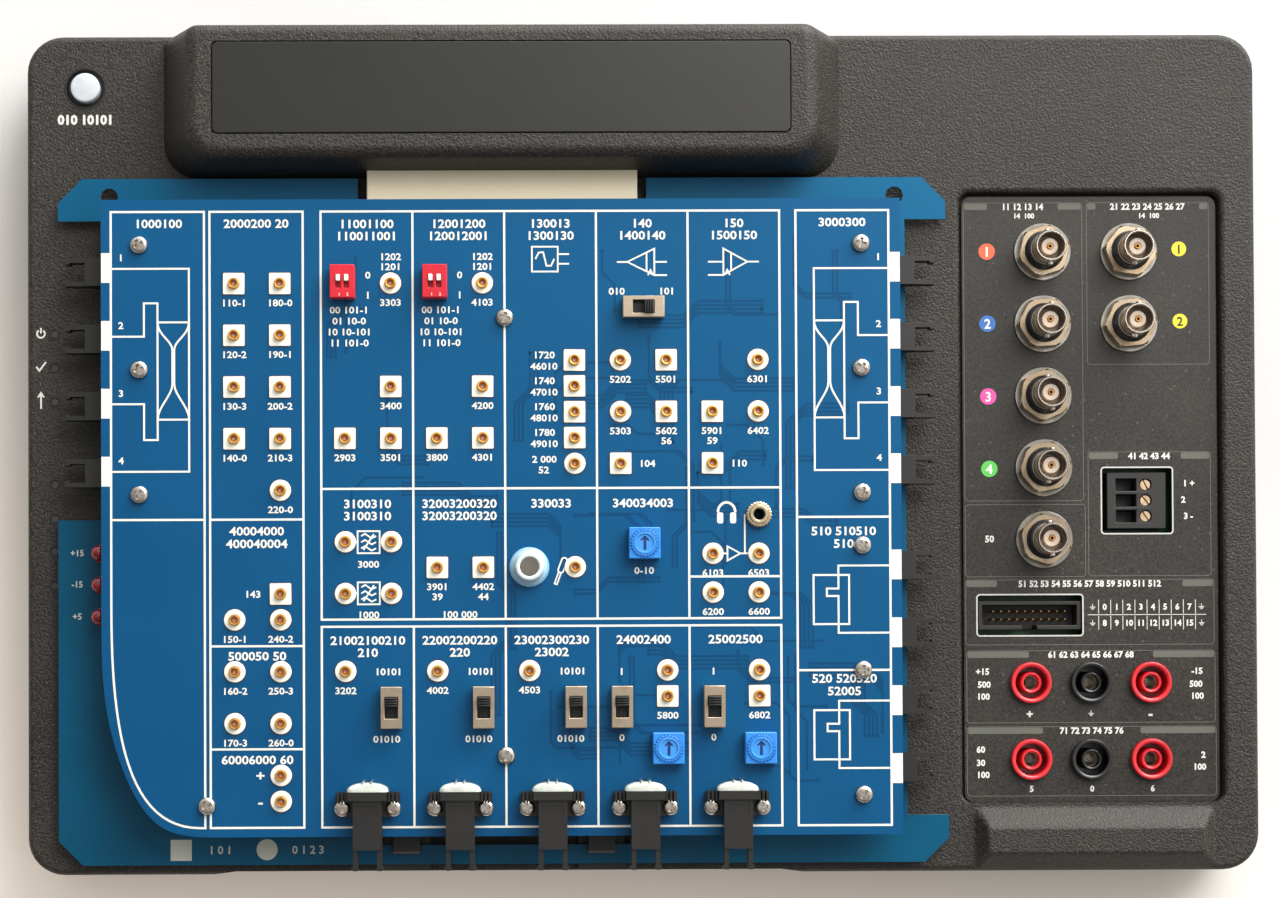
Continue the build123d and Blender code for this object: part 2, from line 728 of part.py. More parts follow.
# Safety banana sockets: flange, shroud groove and inner sleeve in one moulding
for colour, places in (("red", banana_red), ("black", banana_black)):
    with BuildPart() as banana_sockets:
        with BuildSketch(Plane.XY.offset(banana_foot)):
            with Locations(*places):
                RegularPolygon(banana_body_radius, small_sides)
        extrude(amount=banana_length)
        with BuildSketch(Plane.XY.offset(panel_face)):
            with Locations(*places):
                RegularPolygon(banana_flange[0], round_sides)
        extrude(amount=banana_flange[1])
        with BuildSketch(Plane.XY.offset(panel_face + banana_flange[1] - banana_groove_depth)):
            with Locations(*places):
                RegularPolygon(banana_shroud_groove[0], small_sides)
                RegularPolygon(banana_shroud_groove[1], small_sides, mode=Mode.SUBTRACT)
        extrude(amount=banana_groove_depth, mode=Mode.SUBTRACT)
        with BuildSketch(Plane.XY.offset(banana_foot + banana_floor)):
            with Locations(*places):
                RegularPolygon(banana_contact_radius + fit_gap, small_sides)
        extrude(amount=banana_length + banana_flange[1], mode=Mode.SUBTRACT)
    name = "banana_sockets_" + colour
    banana_sockets.part.label = name
    export_step(banana_sockets.part, f"parts/{name}.step")

with BuildPart() as banana_contacts:
    with BuildSketch(Plane.XY.offset(banana_foot + banana_floor)):
        with Locations(*banana_red, *banana_black):
            RegularPolygon(banana_contact_radius, small_sides)
    extrude(amount=banana_length - banana_floor + banana_flange[1] - running_gap)
    with BuildSketch(Plane.XY.offset(banana_foot + 2 * banana_floor)):
        with Locations(*banana_red, *banana_black):
            RegularPolygon(banana_bore, round_sides, major_radius=False)
    extrude(amount=banana_length + banana_flange[1], mode=Mode.SUBTRACT)
banana_contacts.part.label = "banana_contacts"
export_step(banana_contacts.part, "parts/banana_contacts.step")

# Box header: moulded shell with the key notch on its front wall
with BuildPart() as logic_header:
    with BuildSketch(Plane.XY.offset(circuit_top)):
        with Locations(logic_center):
            Rectangle(*logic_shell)
    extrude(amount=logic_shell_top - circuit_top)
    with BuildSketch(Plane.XY.offset(circuit_top + logic_shell_floor)):
        with Locations(logic_center):
            Rectangle(logic_shell[0] - 2 * logic_wall, logic_shell[1] - 2 * logic_wall)
        with Locations((logic_center[0], logic_center[1] - logic_shell[1] / 2)):
            Rectangle(logic_notch, 2 * logic_wall)
    extrude(amount=logic_shell_top - circuit_top, mode=Mode.SUBTRACT)
logic_header.part.label = "logic_header"
export_step(logic_header.part, "parts/logic_header.step")

with BuildPart() as logic_header_pins:
    with BuildSketch(Plane.XY.offset(circuit_top + logic_shell_floor)):
        with Locations(logic_center):
            with GridLocations(pin_pitch, pin_pitch, pin_columns, 2):
                Rectangle(pin_width, pin_width)
    extrude(amount=logic_shell_top - logic_drop - circuit_top - logic_shell_floor)
logic_header_pins.part.label = "logic_header_pins"
export_step(logic_header_pins.part, "parts/logic_header_pins.step")

# Terminal block with three wire entries and three screw wells
screw_rows = [terminal_center[1] + terminal_pitch * k for k in (1, 0, -1)]
with BuildPart() as terminal_block:
    with BuildSketch(Plane.XY.offset(circuit_top)):
        with Locations(terminal_center):
            Rectangle(*terminal_size)
    extrude(amount=terminal_top - circuit_top)
    with BuildSketch(Plane.XY.offset(terminal_top - terminal_entry_depth)):
        with Locations(*[(terminal_center[0] + terminal_entry_x, y) for y in screw_rows]):
            Rectangle(*terminal_entry)
    extrude(amount=terminal_entry_depth, mode=Mode.SUBTRACT)
    with BuildSketch(Plane.XY.offset(terminal_top - terminal_screw_drop - terminal_screw_length)):
        with Locations(*[(terminal_center[0] + terminal_screw_x, y) for y in screw_rows]):
            RegularPolygon(terminal_screw_radius + seat_gap, round_sides, major_radius=False)
    extrude(amount=terminal_screw_drop + terminal_screw_length, mode=Mode.SUBTRACT)
terminal_block.part.label = "terminal_block"
export_step(terminal_block.part, "parts/terminal_block.step")

for number, y in enumerate(screw_rows, 1):
    screw_top = terminal_top - terminal_screw_drop
    with BuildPart() as terminal_screw:
        with BuildSketch(Plane.XY.offset(screw_top - terminal_screw_length)):
            with Locations((terminal_center[0] + terminal_screw_x, y)):
                RegularPolygon(terminal_screw_radius, round_sides)
        extrude(amount=terminal_screw_length)
        with BuildSketch(Plane.XY.offset(screw_top - terminal_slot[1])):
            with Locations((terminal_center[0] + terminal_screw_x, y)):
                Rectangle(3 * terminal_screw_radius, terminal_slot[0])
        extrude(amount=terminal_slot[1], mode=Mode.SUBTRACT)
    name = f"terminal_screw_{number}"
    terminal_screw.part.label = name
    export_step(terminal_screw.part, f"parts/{name}.step")

# Power button: cap, retaining flange and plunger
switch_top = circuit_top + switch_height
flange_top = cavity_top - seat_gap
flange_bottom = flange_top - button_flange[1]
with BuildPart() as power_button:
    with BuildSketch(Plane.XY.offset(flange_bottom)):
        with Locations(button_place):
            RegularPolygon(button_flange[0], round_sides)
    extrude(amount=button_flange[1])
    with BuildSketch(Plane.XY.offset(flange_top)):
        with Locations(button_place):
            RegularPolygon(button_radius, 2 * round_sides)
    extrude(amount=plateau_height + button_rise - flange_top)
    chamfer(power_button.faces().sort_by(Axis.Z)[-1].edges(), button_rise / 3)
    with BuildSketch(Plane.XY.offset(switch_top - button_travel)):
        with Locations(button_place):
            RegularPolygon(button_stem_radius, round_sides)
    extrude(amount=flange_bottom - switch_top + button_travel)
power_button.part.label = "power_button"
export_step(power_button.part, "parts/power_button.step")

with BuildPart() as power_switch:
    with BuildSketch(Plane.XY.offset(circuit_top)):
        with Locations(button_place):
            Rectangle(switch_width, switch_width)
    extrude(amount=switch_height)
    well_depth = 2 * button_travel + fit_gap
    with BuildSketch(Plane.XY.offset(switch_top - well_depth)):
        with Locations(button_place):
            RegularPolygon(button_stem_radius + running_gap, round_sides, major_radius=False)
    extrude(amount=well_depth, mode=Mode.SUBTRACT)
power_switch.part.label = "power_switch"
export_step(power_switch.part, "parts/power_switch.step")

# Return spring round the plunger, hidden, as a plain sleeve
spring_bore = button_stem_radius + 2 * running_gap
with BuildPart() as power_button_spring:
    with BuildSketch(Plane.XY.offset(switch_top + seat_gap)):
        with Locations(button_place):
            RegularPolygon(spring_bore + spring_wire, round_sides)
            RegularPolygon(spring_bore, round_sides, mode=Mode.SUBTRACT)
    extrude(amount=flange_bottom - switch_top - 2 * seat_gap)
power_button_spring.part.label = "power_button_spring"
export_step(power_button_spring.part, "parts/power_button_spring.step")

with BuildPart() as status_light_pipes:
    with BuildSketch(Plane.XY.offset(circuit_top)):
        with Locations(*status_places):
            RegularPolygon(status_radius, few_sides)
    extrude(amount=plateau_height - circuit_top - seat_gap)
status_light_pipes.part.label = "status_light_pipes"
export_step(status_light_pipes.part, "parts/status_light_pipes.step")

# Board socket: a right-angle edge connector standing on the circuit board
slot_bottom = slot_middle - socket_slot_height / 2
with BuildPart() as board_socket:
    with BuildSketch(Plane.XY.offset(socket_bottom)):
        with Locations((dock_x, (socket_front + socket_back) / 2)):
            Rectangle(socket_length, socket_back - socket_front)
    extrude(amount=socket_top - socket_bottom)
    with BuildSketch(Plane.XY.offset(circuit_top)):
        with Locations((dock_x, (socket_tail_front + socket_back) / 2)):
            Rectangle(socket_length, socket_back - socket_tail_front)
    extrude(amount=socket_bottom - circuit_top)
    with BuildSketch(Plane.XY.offset(slot_bottom)):
        with Locations((dock_x, socket_front + socket_slot_depth / 2)):
            Rectangle(socket_slot_length, socket_slot_depth)
    extrude(amount=socket_slot_height, mode=Mode.SUBTRACT)
board_socket.part.label = "board_socket"
export_step(board_socket.part, "parts/board_socket.step")

with BuildPart() as board_socket_contacts:
    for height in (slot_bottom, slot_bottom + socket_slot_height - contact_thickness):
        with BuildSketch(Plane.XY.offset(height)):
            with Locations((dock_x, socket_front + socket_slot_depth - contact_length / 2)):
                with GridLocations(contact_pitch, 1, contact_count, 1):
                    Rectangle(contact_width, contact_length)
        extrude(amount=contact_thickness)
board_socket_contacts.part.label = "board_socket_contacts"
export_step(board_socket_contacts.part, "parts/board_socket_contacts.step")

# Rear power inlet with its centre pin, and the data socket beside it
with BuildPart() as rear_sockets:
    inlet_y = console_depth / 2 - rear_inset - power_inlet_size[1] / 2
    with BuildSketch(Plane.XY.offset(circuit_top)):
        with Locations((power_inlet_x, inlet_y)):
            Rectangle(power_inlet_size[0], power_inlet_size[1])
    extrude(amount=power_inlet_size[2])
    inlet_mouth = (power_inlet_x, console_depth / 2 - rear_inset, circuit_top + power_inlet_size[2] / 2)
    with BuildSketch(Plane(inlet_mouth, x_dir=(1, 0, 0), z_dir=(0, -1, 0))):
        RegularPolygon(power_inlet_bore[0], round_sides)
        RegularPolygon(power_inlet_pin, few_sides, mode=Mode.SUBTRACT)
    extrude(amount=power_inlet_bore[1], mode=Mode.SUBTRACT)
    data_y = console_depth / 2 - rear_inset - data_socket_size[1] / 2
    with BuildSketch(Plane.XY.offset(circuit_top)):
        with Locations((data_socket_x, data_y)):
            Rectangle(data_socket_size[0], data_socket_size[1])
    extrude(amount=data_socket_size[2])
    data_mouth = (data_socket_x, console_depth / 2 - rear_inset, circuit_top + data_socket_size[2] / 2)
    with BuildSketch(Plane(data_mouth, x_dir=(1, 0, 0), z_dir=(0, -1, 0))):
        data_width = data_socket_size[0] - 2 * data_socket_wall
        data_height = data_socket_size[2] - 2 * data_socket_wall
        Rectangle(data_width, data_height)
        Rectangle(data_width - data_height, data_height / 4, mode=Mode.SUBTRACT)
    extrude(amount=data_socket_size[1] - 2 * data_socket_wall, mode=Mode.SUBTRACT)
rear_sockets.part.label = "rear_sockets"
export_step(rear_sockets.part, "parts/rear_sockets.step")

# Main board: wings at the back, waists at the sides and the contact tongue
tongue_left = dock_x - tongue_length / 2
tongue_right = dock_x + tongue_length / 2
notch_left = dock_x - notch_length / 2
notch_right = dock_x + notch_length / 2
wing_front = main_back - wing_depth
left_waist_x = main_left + left_waist
right_waist_x = main_right - right_waist
with BuildPart() as main_board:
    with BuildSketch(Plane.XY.offset(main_bottom)):
        with BuildLine():
            Polyline(
                (main_left + main_chamfer, main_front),
                (main_right - main_chamfer, main_front),
                (main_right, main_front + main_chamfer),
                (main_right, main_back - right_waist_front),
                (right_waist_x, main_back - right_waist_front),
                (right_waist_x, wing_front),
                (main_right, wing_front),
                (main_right, main_back - main_chamfer),
                (main_right - main_chamfer, main_back),
                (notch_right, main_back),
                (notch_right, notch_root),
                (tongue_right, notch_root),
                (tongue_right, tongue_end),
                (tongue_left, tongue_end),
                (tongue_left, notch_root),
                (notch_left, notch_root),
                (notch_left, main_back),
                (main_left + main_chamfer, main_back),
                (main_left, main_back - main_chamfer),
                (main_left, wing_front),
                (left_waist_x, wing_front),
                (left_waist_x, main_back - left_waist_front),
                (main_left, main_back - left_waist_front),
                (main_left, main_front + main_chamfer),
                close=True,
            )
        make_face()
        with Locations(((slot_left + slot_right) / 2, (slot_front + slot_back) / 2)):
            Rectangle(slot_right - slot_left, slot_back - slot_front, mode=Mode.SUBTRACT)
        hole_y = main_back - board_hole_inset[1]
        hole_xs = (main_left + board_hole_inset[0], main_right - board_hole_inset[0])
        with Locations(*[(x, hole_y) for x in hole_xs]):
            RegularPolygon(board_hole_radius, round_sides, mode=Mode.SUBTRACT)
    extrude(amount=board_thickness)
main_board.part.label = "main_board"
export_step(main_board.part, "parts/main_board.step")

# Panel board: its front left corner is one long curve
jack_place = grid(jack_column, jack_row)
with BuildPart() as panel_board:
    with BuildSketch(Plane.XY.offset(panel_board_bottom)):
        with BuildLine():
            board_left = dock_x - panel_board_left
            board_right = dock_x + panel_board_right
            board_back = main_back - panel_board_span[0]
            board_front = main_back - panel_board_span[1]
            curve_start = (board_left, main_back - curve_start_drop)
            curve_end = (dock_x - curve_end_x, board_front)
            Polyline(
                curve_end,
                (board_right, board_front),
                (board_right, board_back),
                (board_left, board_back),
                curve_start,
            )
            curve_points = (
                curve_start,
                (board_left + 4.2, board_front + 27.8),
                (board_left + 14.7, board_front + 6.4),
                curve_end,
            )
            Spline(*curve_points, tangents=((0, -1), (1, 0)))
        make_face()
        with Locations(jack_place):
            hole = jack_barrel_radius + seat_gap
            RegularPolygon(hole, bore_sides, major_radius=False, mode=Mode.SUBTRACT)
    extrude(amount=board_thickness)
panel_board.part.label = "panel_board"
export_step(panel_board.part, "parts/panel_board.step")

with BuildPart() as board_spacers:
    with BuildSketch(Plane.XY.offset(main_top)):
        with Locations(*spacer_places):
            RegularPolygon(spacer_width / 2, 6, major_radius=False)
    extrude(amount=spacer_height)
board_spacers.part.label = "board_spacers"
export_step(board_spacers.part, "parts/board_spacers.step")

interboard_center = (dock_x + 4.3, main_back - 138.5)
interboard_size = (52.0, 5.0)
interboard_split = 8.4
with BuildPart() as interboard_header:
    with BuildSketch(Plane.XY.offset(main_top)):
        with Locations(interboard_center):
            Rectangle(*interboard_size)
    extrude(amount=interboard_split)
    with BuildSketch(Plane.XY.offset(main_top + interboard_split)):
        with Locations(interboard_center):
            Rectangle(interboard_size[0] - 1, interboard_size[1] / 2)
    extrude(amount=spacer_height - interboard_split)
interboard_header.part.label = "interboard_header"
export_step(interboard_header.part, "parts/interboard_header.step")

# Patch sockets: turned tubes on the panel board
patch_places = [grid(column, row) for column, rows in enumerate(column_rows) for row in rows]
for offset, rows in zip(io_columns, (io_left_rows, io_right_rows)):
    patch_places += [(dock_x + offset, grid(0, row)[1]) for row in rows]
with BuildPart() as patch_sockets:
    with BuildSketch(Plane.XY.offset(panel_board_top)):
        with Locations(*patch_places):
            RegularPolygon(patch_radius, few_sides)
    extrude(amount=patch_rise)
    with BuildSketch(Plane.XY.offset(panel_board_top + patch_rise - patch_depth)):
        with Locations(*patch_places):
            RegularPolygon(patch_bore, 4)
    extrude(amount=patch_depth, mode=Mode.SUBTRACT)
patch_sockets.part.label = "patch_sockets"
export_step(patch_sockets.part, "parts/patch_sockets.step")

# DIP switches: windows in the bodies and one lever for each
dip_places = [(grid(c, dip_row)[0] + dip_shift, grid(c, dip_row)[1]) for c in dip_columns]
lever_places = [(x + side * dip_lever_pitch / 2, y) for x, y in dip_places for side in (-1, 1)]
with BuildPart() as dip_switch_bodies:
    with BuildSketch(Plane.XY.offset(panel_board_top)):
        with Locations(*dip_places):
            Rectangle(dip_size[0], dip_size[1])
    extrude(amount=dip_size[2])
    with BuildSketch(Plane.XY.offset(dip_top - dip_window_depth)):
        with Locations(*lever_places):
            Rectangle(dip_window[0], dip_window[1])
    extrude(amount=dip_window_depth, mode=Mode.SUBTRACT)
dip_switch_bodies.part.label = "dip_switch_bodies"
export_step(dip_switch_bodies.part, "parts/dip_switch_bodies.step")

for number, (x, y) in enumerate(lever_places, 1):
    lever_y = y + dip_travel / 2
    with BuildPart() as dip_lever_part:
        with BuildSketch(Plane.XY.offset(dip_top - dip_window_depth + fit_gap)):
            with Locations((x, lever_y)):
                Rectangle(*dip_lever)
        extrude(amount=dip_window_depth + dip_lever_rise - fit_gap)
    name = f"dip_lever_{number}"
    dip_lever_part.part.label = name
    export_step(dip_lever_part.part, f"parts/{name}.step")

# Slide switches: bent metal frame over a moulded base, knob in the window
slide_all = [(grid(column, slide_row), 0) for column in slide_columns] + [(grid(*coder_switch), 90)]
frame_bottom = panel_board_top + slide_base_foot
with BuildPart() as slide_switch_frames:
    for place, turn in slide_all:
        with BuildSketch(Plane.XY.offset(frame_bottom)):
            with Locations(Location((*place, 0), (0, 0, turn))):
                Rectangle(*slide_size)
        extrude(amount=slide_frame_height)
        with BuildSketch(Plane.XY.offset(frame_bottom)):
            with Locations(Location((*place, 0), (0, 0, turn))):
                Rectangle(slide_size[0] - 2 * slide_frame_wall, slide_size[1] - 2 * slide_frame_wall)
        extrude(amount=slide_frame_height - slide_frame_wall, mode=Mode.SUBTRACT)
        with BuildSketch(Plane.XY.offset(slide_frame_top)):
            with Locations(Location((*place, 0), (0, 0, turn))):
                Rectangle(*slide_window)
        extrude(amount=-slide_frame_wall, mode=Mode.SUBTRACT)
slide_switch_frames.part.label = "slide_switch_frames"
export_step(slide_switch_frames.part, "parts/slide_switch_frames.step")

base_width = slide_size[0] - 2 * slide_frame_wall - 2 * fit_gap
base_length = slide_size[1] - 2 * slide_frame_wall - 2 * fit_gap
with BuildPart() as slide_switch_bases:
    for place, turn in slide_all:
        with BuildSketch(Plane.XY.offset(panel_board_top)):
            with Locations(Location((*place, 0), (0, 0, turn))):
                Rectangle(base_width, base_length)
        extrude(amount=slide_base_height)
slide_switch_bases.part.label = "slide_switch_bases"
export_step(slide_switch_bases.part, "parts/slide_switch_bases.step")

knob_bottom = panel_board_top + slide_base_height + seat_gap
knob_shift = slide_travel / 2
for number, (place, turn) in enumerate(slide_all, 1):
    along = (1, 0) if turn else (0, 1)
    knob_center = (place[0] + along[0] * knob_shift, place[1] + along[1] * knob_shift, 0)
    with BuildPart() as slide_knob_part:
        with BuildSketch(Plane.XY.offset(knob_bottom)):
            with Locations(Location(knob_center, (0, 0, turn))):
                Rectangle(*slide_knob)
        extrude(amount=slide_frame_top + slide_knob_rise - knob_bottom)
    name = f"slide_knob_{number}"
    slide_knob_part.part.label = name
    export_step(slide_knob_part.part, f"parts/{name}.step")

# Trimmers: square body with a round well, rotor with a screwdriver slot
trimmer_centers = [grid(column, row) for column, row in trimmer_places]
trimmer_top = panel_board_top + trimmer_height
with BuildPart() as trimmer_bodies:
    with BuildSketch(Plane.XY.offset(panel_board_top)):
        with Locations(*trimmer_centers):
            Rectangle(trimmer_width, trimmer_width)
    extrude(amount=trimmer_height)
    with BuildSketch(Plane.XY.offset(trimmer_top - trimmer_well[1])):
        with Locations(*trimmer_centers):
            RegularPolygon(trimmer_well[0], round_sides)
    extrude(amount=trimmer_well[1], mode=Mode.SUBTRACT)
trimmer_bodies.part.label = "trimmer_bodies"
export_step(trimmer_bodies.part, "parts/trimmer_bodies.step")

for number, center in enumerate(trimmer_centers, 1):
    rotor_bottom = trimmer_top - trimmer_well[1] + fit_gap
    rotor_top = rotor_bottom + trimmer_rotor_height
    with BuildPart() as trimmer_rotor:
        with BuildSketch(Plane.XY.offset(rotor_bottom)):
            with Locations(center):
                RegularPolygon(trimmer_rotor_radius, round_sides)
        extrude(amount=trimmer_rotor_height)
        with BuildSketch(Plane.XY.offset(rotor_top - trimmer_dish[1])):
            with Locations(center):
                RegularPolygon(trimmer_dish[0], round_sides)
        extrude(amount=trimmer_dish[1], mode=Mode.SUBTRACT)
        with BuildSketch(Plane.XY.offset(rotor_top - trimmer_dish[1] - trimmer_slot[2])):
            with Locations(center):
                Rectangle(trimmer_slot[0], trimmer_slot[1])
        extrude(amount=trimmer_slot[2], mode=Mode.SUBTRACT)
    name = f"trimmer_rotor_{number}"
    trimmer_rotor.part.label = name
    export_step(trimmer_rotor.part, f"parts/{name}.step")

# Headphone jack: body under the panel board, barrel through it, nut on top
with BuildPart() as headphone_jack:
    with BuildSketch(Plane.XY.offset(panel_board_bottom - jack_body[1])):
        with Locations(jack_place):
            Rectangle(jack_body[0], jack_body[0])
    extrude(amount=jack_body[1])
    with BuildSketch(Plane.XY.offset(panel_board_bottom)):
        with Locations(jack_place):
            RegularPolygon(jack_barrel_radius, round_sides)
    extrude(amount=board_thickness + jack_rise)
    with BuildSketch(Plane.XY.offset(panel_board_bottom - jack_body[1] + 1)):
        with Locations(jack_place):
            Circle(jack_bore)
    extrude(amount=2 * jack_body[1], mode=Mode.SUBTRACT)
    with BuildSketch(Plane.XY.offset(panel_board_top)):
        with Locations(jack_place):
            RegularPolygon(jack_nut[0], round_sides)
            hole = jack_barrel_radius + fit_gap
            RegularPolygon(hole, bore_sides, major_radius=False, mode=Mode.SUBTRACT)
    extrude(amount=jack_nut[1])
headphone_jack.part.label = "headphone_jack"
export_step(headphone_jack.part, "parts/headphone_jack.step")

# Microphone: rubber boot with a skirt, capsule sunk in its top
microphone_place = grid(microphone_column, microphone_row)
boot_bottom, boot_top, boot_height = microphone_boot
skirt_top = panel_board_top + microphone_skirt[1]
with BuildPart() as microphone:
    with BuildSketch(Plane.XY.offset(skirt_top)):
        with Locations(microphone_place):
            RegularPolygon(boot_bottom, round_sides)
    with BuildSketch(Plane.XY.offset(skirt_top + boot_height)):
        with Locations(microphone_place):
            RegularPolygon(boot_top, round_sides)
    loft(ruled=True)
    with BuildSketch(Plane.XY.offset(panel_board_top)):
        with Locations(microphone_place):
            RegularPolygon(microphone_skirt[0], round_sides)
    extrude(amount=microphone_skirt[1])
    with BuildSketch(Plane.XY.offset(skirt_top + boot_height - microphone_capsule_drop)):
        with Locations(microphone_place):
            RegularPolygon(microphone_capsule, round_sides)
    extrude(amount=microphone_capsule_drop, mode=Mode.SUBTRACT)
microphone.part.label = "microphone"
export_step(microphone.part, "parts/microphone.step")

# Front fibre modules: ears, cross bar, and the stem with its latch legs
stem_front = module_bar_back - module_bar[1] - stem_length
stem_bottom = panel_board_top + stem_lift
leg_bottom = stem_bottom + (stem_height - leg_height) / 2
port_bottom = stem_bottom + (stem_height - port_size[1]) / 2
with BuildPart() as fibre_modules:
    with BuildSketch(Plane.XY.offset(panel_board_top)):
        with Locations(*[(x, module_bar_back + module_ear_shift) for x in module_x]):
            Rectangle(module_ear[0], module_ear[1])
    extrude(amount=module_ear[2])
    with BuildSketch(Plane.XY.offset(panel_board_top)):
        with Locations(*[(x, module_bar_back - module_bar[1] / 2) for x in module_x]):
            Rectangle(module_bar[0], module_bar[1])
    extrude(amount=module_bar[2])
    with BuildSketch(Plane.XY.offset(stem_bottom)):
        with Locations(*[(x, stem_front + stem_length / 2) for x in module_x]):
            Rectangle(stem_width, stem_length)
    extrude(amount=stem_height)
    with BuildSketch(Plane.XY.offset(leg_bottom)):
        for side in (-1, 1):
            with Locations(*[(x + side * (stem_width - leg_width) / 2, stem_front) for x in module_x]):
                Rectangle(leg_width, 2 * leg_length)
            hook_x = side * (stem_width / 2 - (leg_width + leg_hook[0]) / 2)
            hook_y = stem_front - leg_length + leg_hook[1] / 2
            with Locations(*[(x + hook_x, hook_y) for x in module_x]):
                Rectangle(leg_width + leg_hook[0], leg_hook[1])
    extrude(amount=leg_height)
    with BuildSketch(Plane.XY.offset(port_bottom)):
        with Locations(*[(x, stem_front + port_depth / 2) for x in module_x]):
            Rectangle(port_size[0], port_depth)
    extrude(amount=port_size[1], mode=Mode.SUBTRACT)
fibre_modules.part.label = "fibre_modules"
export_step(fibre_modules.part, "parts/fibre_modules.step")

# Diode domes behind the cross bars, with two leads each down to the board
dome_width = 11.0
dome_depth = 2.8
dome_lift = 0.8
dome_height = 6.0
lead_size = (0.7, 1.8)
lead_spread = 2.54
with BuildPart() as fibre_diodes:
    for x in module_x:
        with BuildSketch(Plane.XY.offset(panel_board_top + dome_lift)):
            with BuildLine():
                Polyline(
                    (x - dome_width / 2, module_bar_back),
                    (x - dome_width / 4, module_bar_back + dome_depth),
                    (x + dome_width / 4, module_bar_back + dome_depth),
                    (x + dome_width / 2, module_bar_back),
                    close=True,
                )
            make_face()
        extrude(amount=dome_height)
    with BuildSketch(Plane.XY.offset(panel_board_top)):
        lead_y = module_bar_back + dome_depth
        with Locations(*[(x + side * lead_spread / 2, lead_y) for x in module_x for side in (-1, 1)]):
            Rectangle(*lead_size)
    extrude(amount=dome_height - dome_lift)
fibre_diodes.part.label = "fibre_diodes"
export_step(fibre_diodes.part, "parts/fibre_diodes.step")

# Side fibre housings on the main board, the same stem and legs pointing outward
housing_leg_bottom = main_top + (stem_height - leg_height) / 2
housing_port_bottom = main_top + (stem_height - port_size[1]) / 2
left_housings = (dock_x - left_housing_reach, 1, [main_back - drop for drop in left_housing_drops])
right_housings = (dock_x + right_housing_reach, -1, [main_back - drop for drop in right_housing_drops])
with BuildPart() as edge_fibre_housings:
    for tip, inward, rows in (left_housings, right_housings):
        mouth = tip + inward * leg_length
        with BuildSketch(Plane.XY.offset(main_top)):
            with Locations(*[(mouth + inward * housing_length / 2, y) for y in rows]):
                Rectangle(housing_length, stem_width)
        extrude(amount=stem_height)
        with BuildSketch(Plane.XY.offset(housing_leg_bottom)):
            for side in (-1, 1):
                with Locations(*[(mouth, y + side * (stem_width - leg_width) / 2) for y in rows]):
                    Rectangle(2 * leg_length, leg_width)
                hook_y = side * (stem_width / 2 - (leg_width + leg_hook[0]) / 2)
                hook_x = tip + inward * leg_hook[1] / 2
                with Locations(*[(hook_x, y + hook_y) for y in rows]):
                    Rectangle(leg_hook[1], leg_width + leg_hook[0])
        extrude(amount=leg_height)
        with BuildSketch(Plane.XY.offset(housing_port_bottom)):
            with Locations(*[(mouth + inward * port_depth / 2, y) for y in rows]):
                Rectangle(port_depth, port_size[0])
        extrude(amount=port_size[1], mode=Mode.SUBTRACT)
edge_fibre_housings.part.label = "edge_fibre_housings"
export_step(edge_fibre_housings.part, "parts/edge_fibre_housings.step")

led_places = [(dock_x + led_offset, main_back - drop) for drop in led_drops]
with BuildPart() as power_leds:
    with BuildSketch(Plane.XY.offset(main_top)):
        with Locations(*led_places):
            RegularPolygon(led_radius, round_sides)
    extrude(amount=led_height)
    chamfer(power_leds.faces().group_by(Axis.Z)[-1].edges(), led_chamfer)
    with BuildSketch(Plane.XY.offset(main_top)):
        with Locations(*led_places):
            RegularPolygon(led_flange[0], round_sides)
    extrude(amount=led_flange[1])
power_leds.part.label = "power_leds"
export_step(power_leds.part, "parts/power_leds.step")

# Latches: slide plate on the plateau, hook through the board's slot, foot below
plate_bottom = plateau_height + seat_gap
plate_top = plate_bottom + latch_plate[2]
hook_bottom = main_top + running_gap
stem_front_y = slot_front + running_gap
for side_name, x in zip(("left", "right"), latch_x):
    with BuildPart() as latch:
        with BuildSketch(Plane.XY.offset(plate_bottom)):
            with Locations((x, latch_front + latch_plate[1] / 2)):
                Rectangle(latch_plate[0], latch_plate[1])
        extrude(amount=latch_plate[2])
        with BuildSketch(Plane.XY.offset(plate_top)):
            with Locations((x, stem_front_y + latch_stem_depth / 2)):
                Rectangle(latch_hook[0], latch_stem_depth)
        extrude(amount=hook_bottom - plate_top)
        with BuildSketch(Plane.XY.offset(hook_bottom)):
            hook_depth = stem_front_y + latch_stem_depth - latch_nose
            with Locations((x, latch_nose + hook_depth / 2)):
                Rectangle(latch_hook[0], hook_depth)
        extrude(amount=latch_hook[1])
        nose_top = latch.edges().filter_by(Axis.X).group_by(Axis.Z)[-1].sort_by(Axis.Y)[0]
        chamfer(nose_top, latch_hook[1] / 3)
        with BuildSketch(Plane.XY.offset(cavity_top - running_gap)):
            with Locations((x, latch_neck_y)):
                Rectangle(*latch_neck)
        extrude(amount=plate_bottom - cavity_top + running_gap)
        with BuildSketch(Plane.XY.offset(cavity_top - running_gap - latch_foot[2])):
            with Locations((x, latch_neck_y)):
                Rectangle(latch_foot[0], latch_foot[1])
        extrude(amount=latch_foot[2])
    name = "latch_" + side_name
    latch.part.label = name
    export_step(latch.part, f"parts/{name}.step")
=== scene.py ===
import math
import random

import bmesh
import bpy
from mathutils import Matrix, Vector


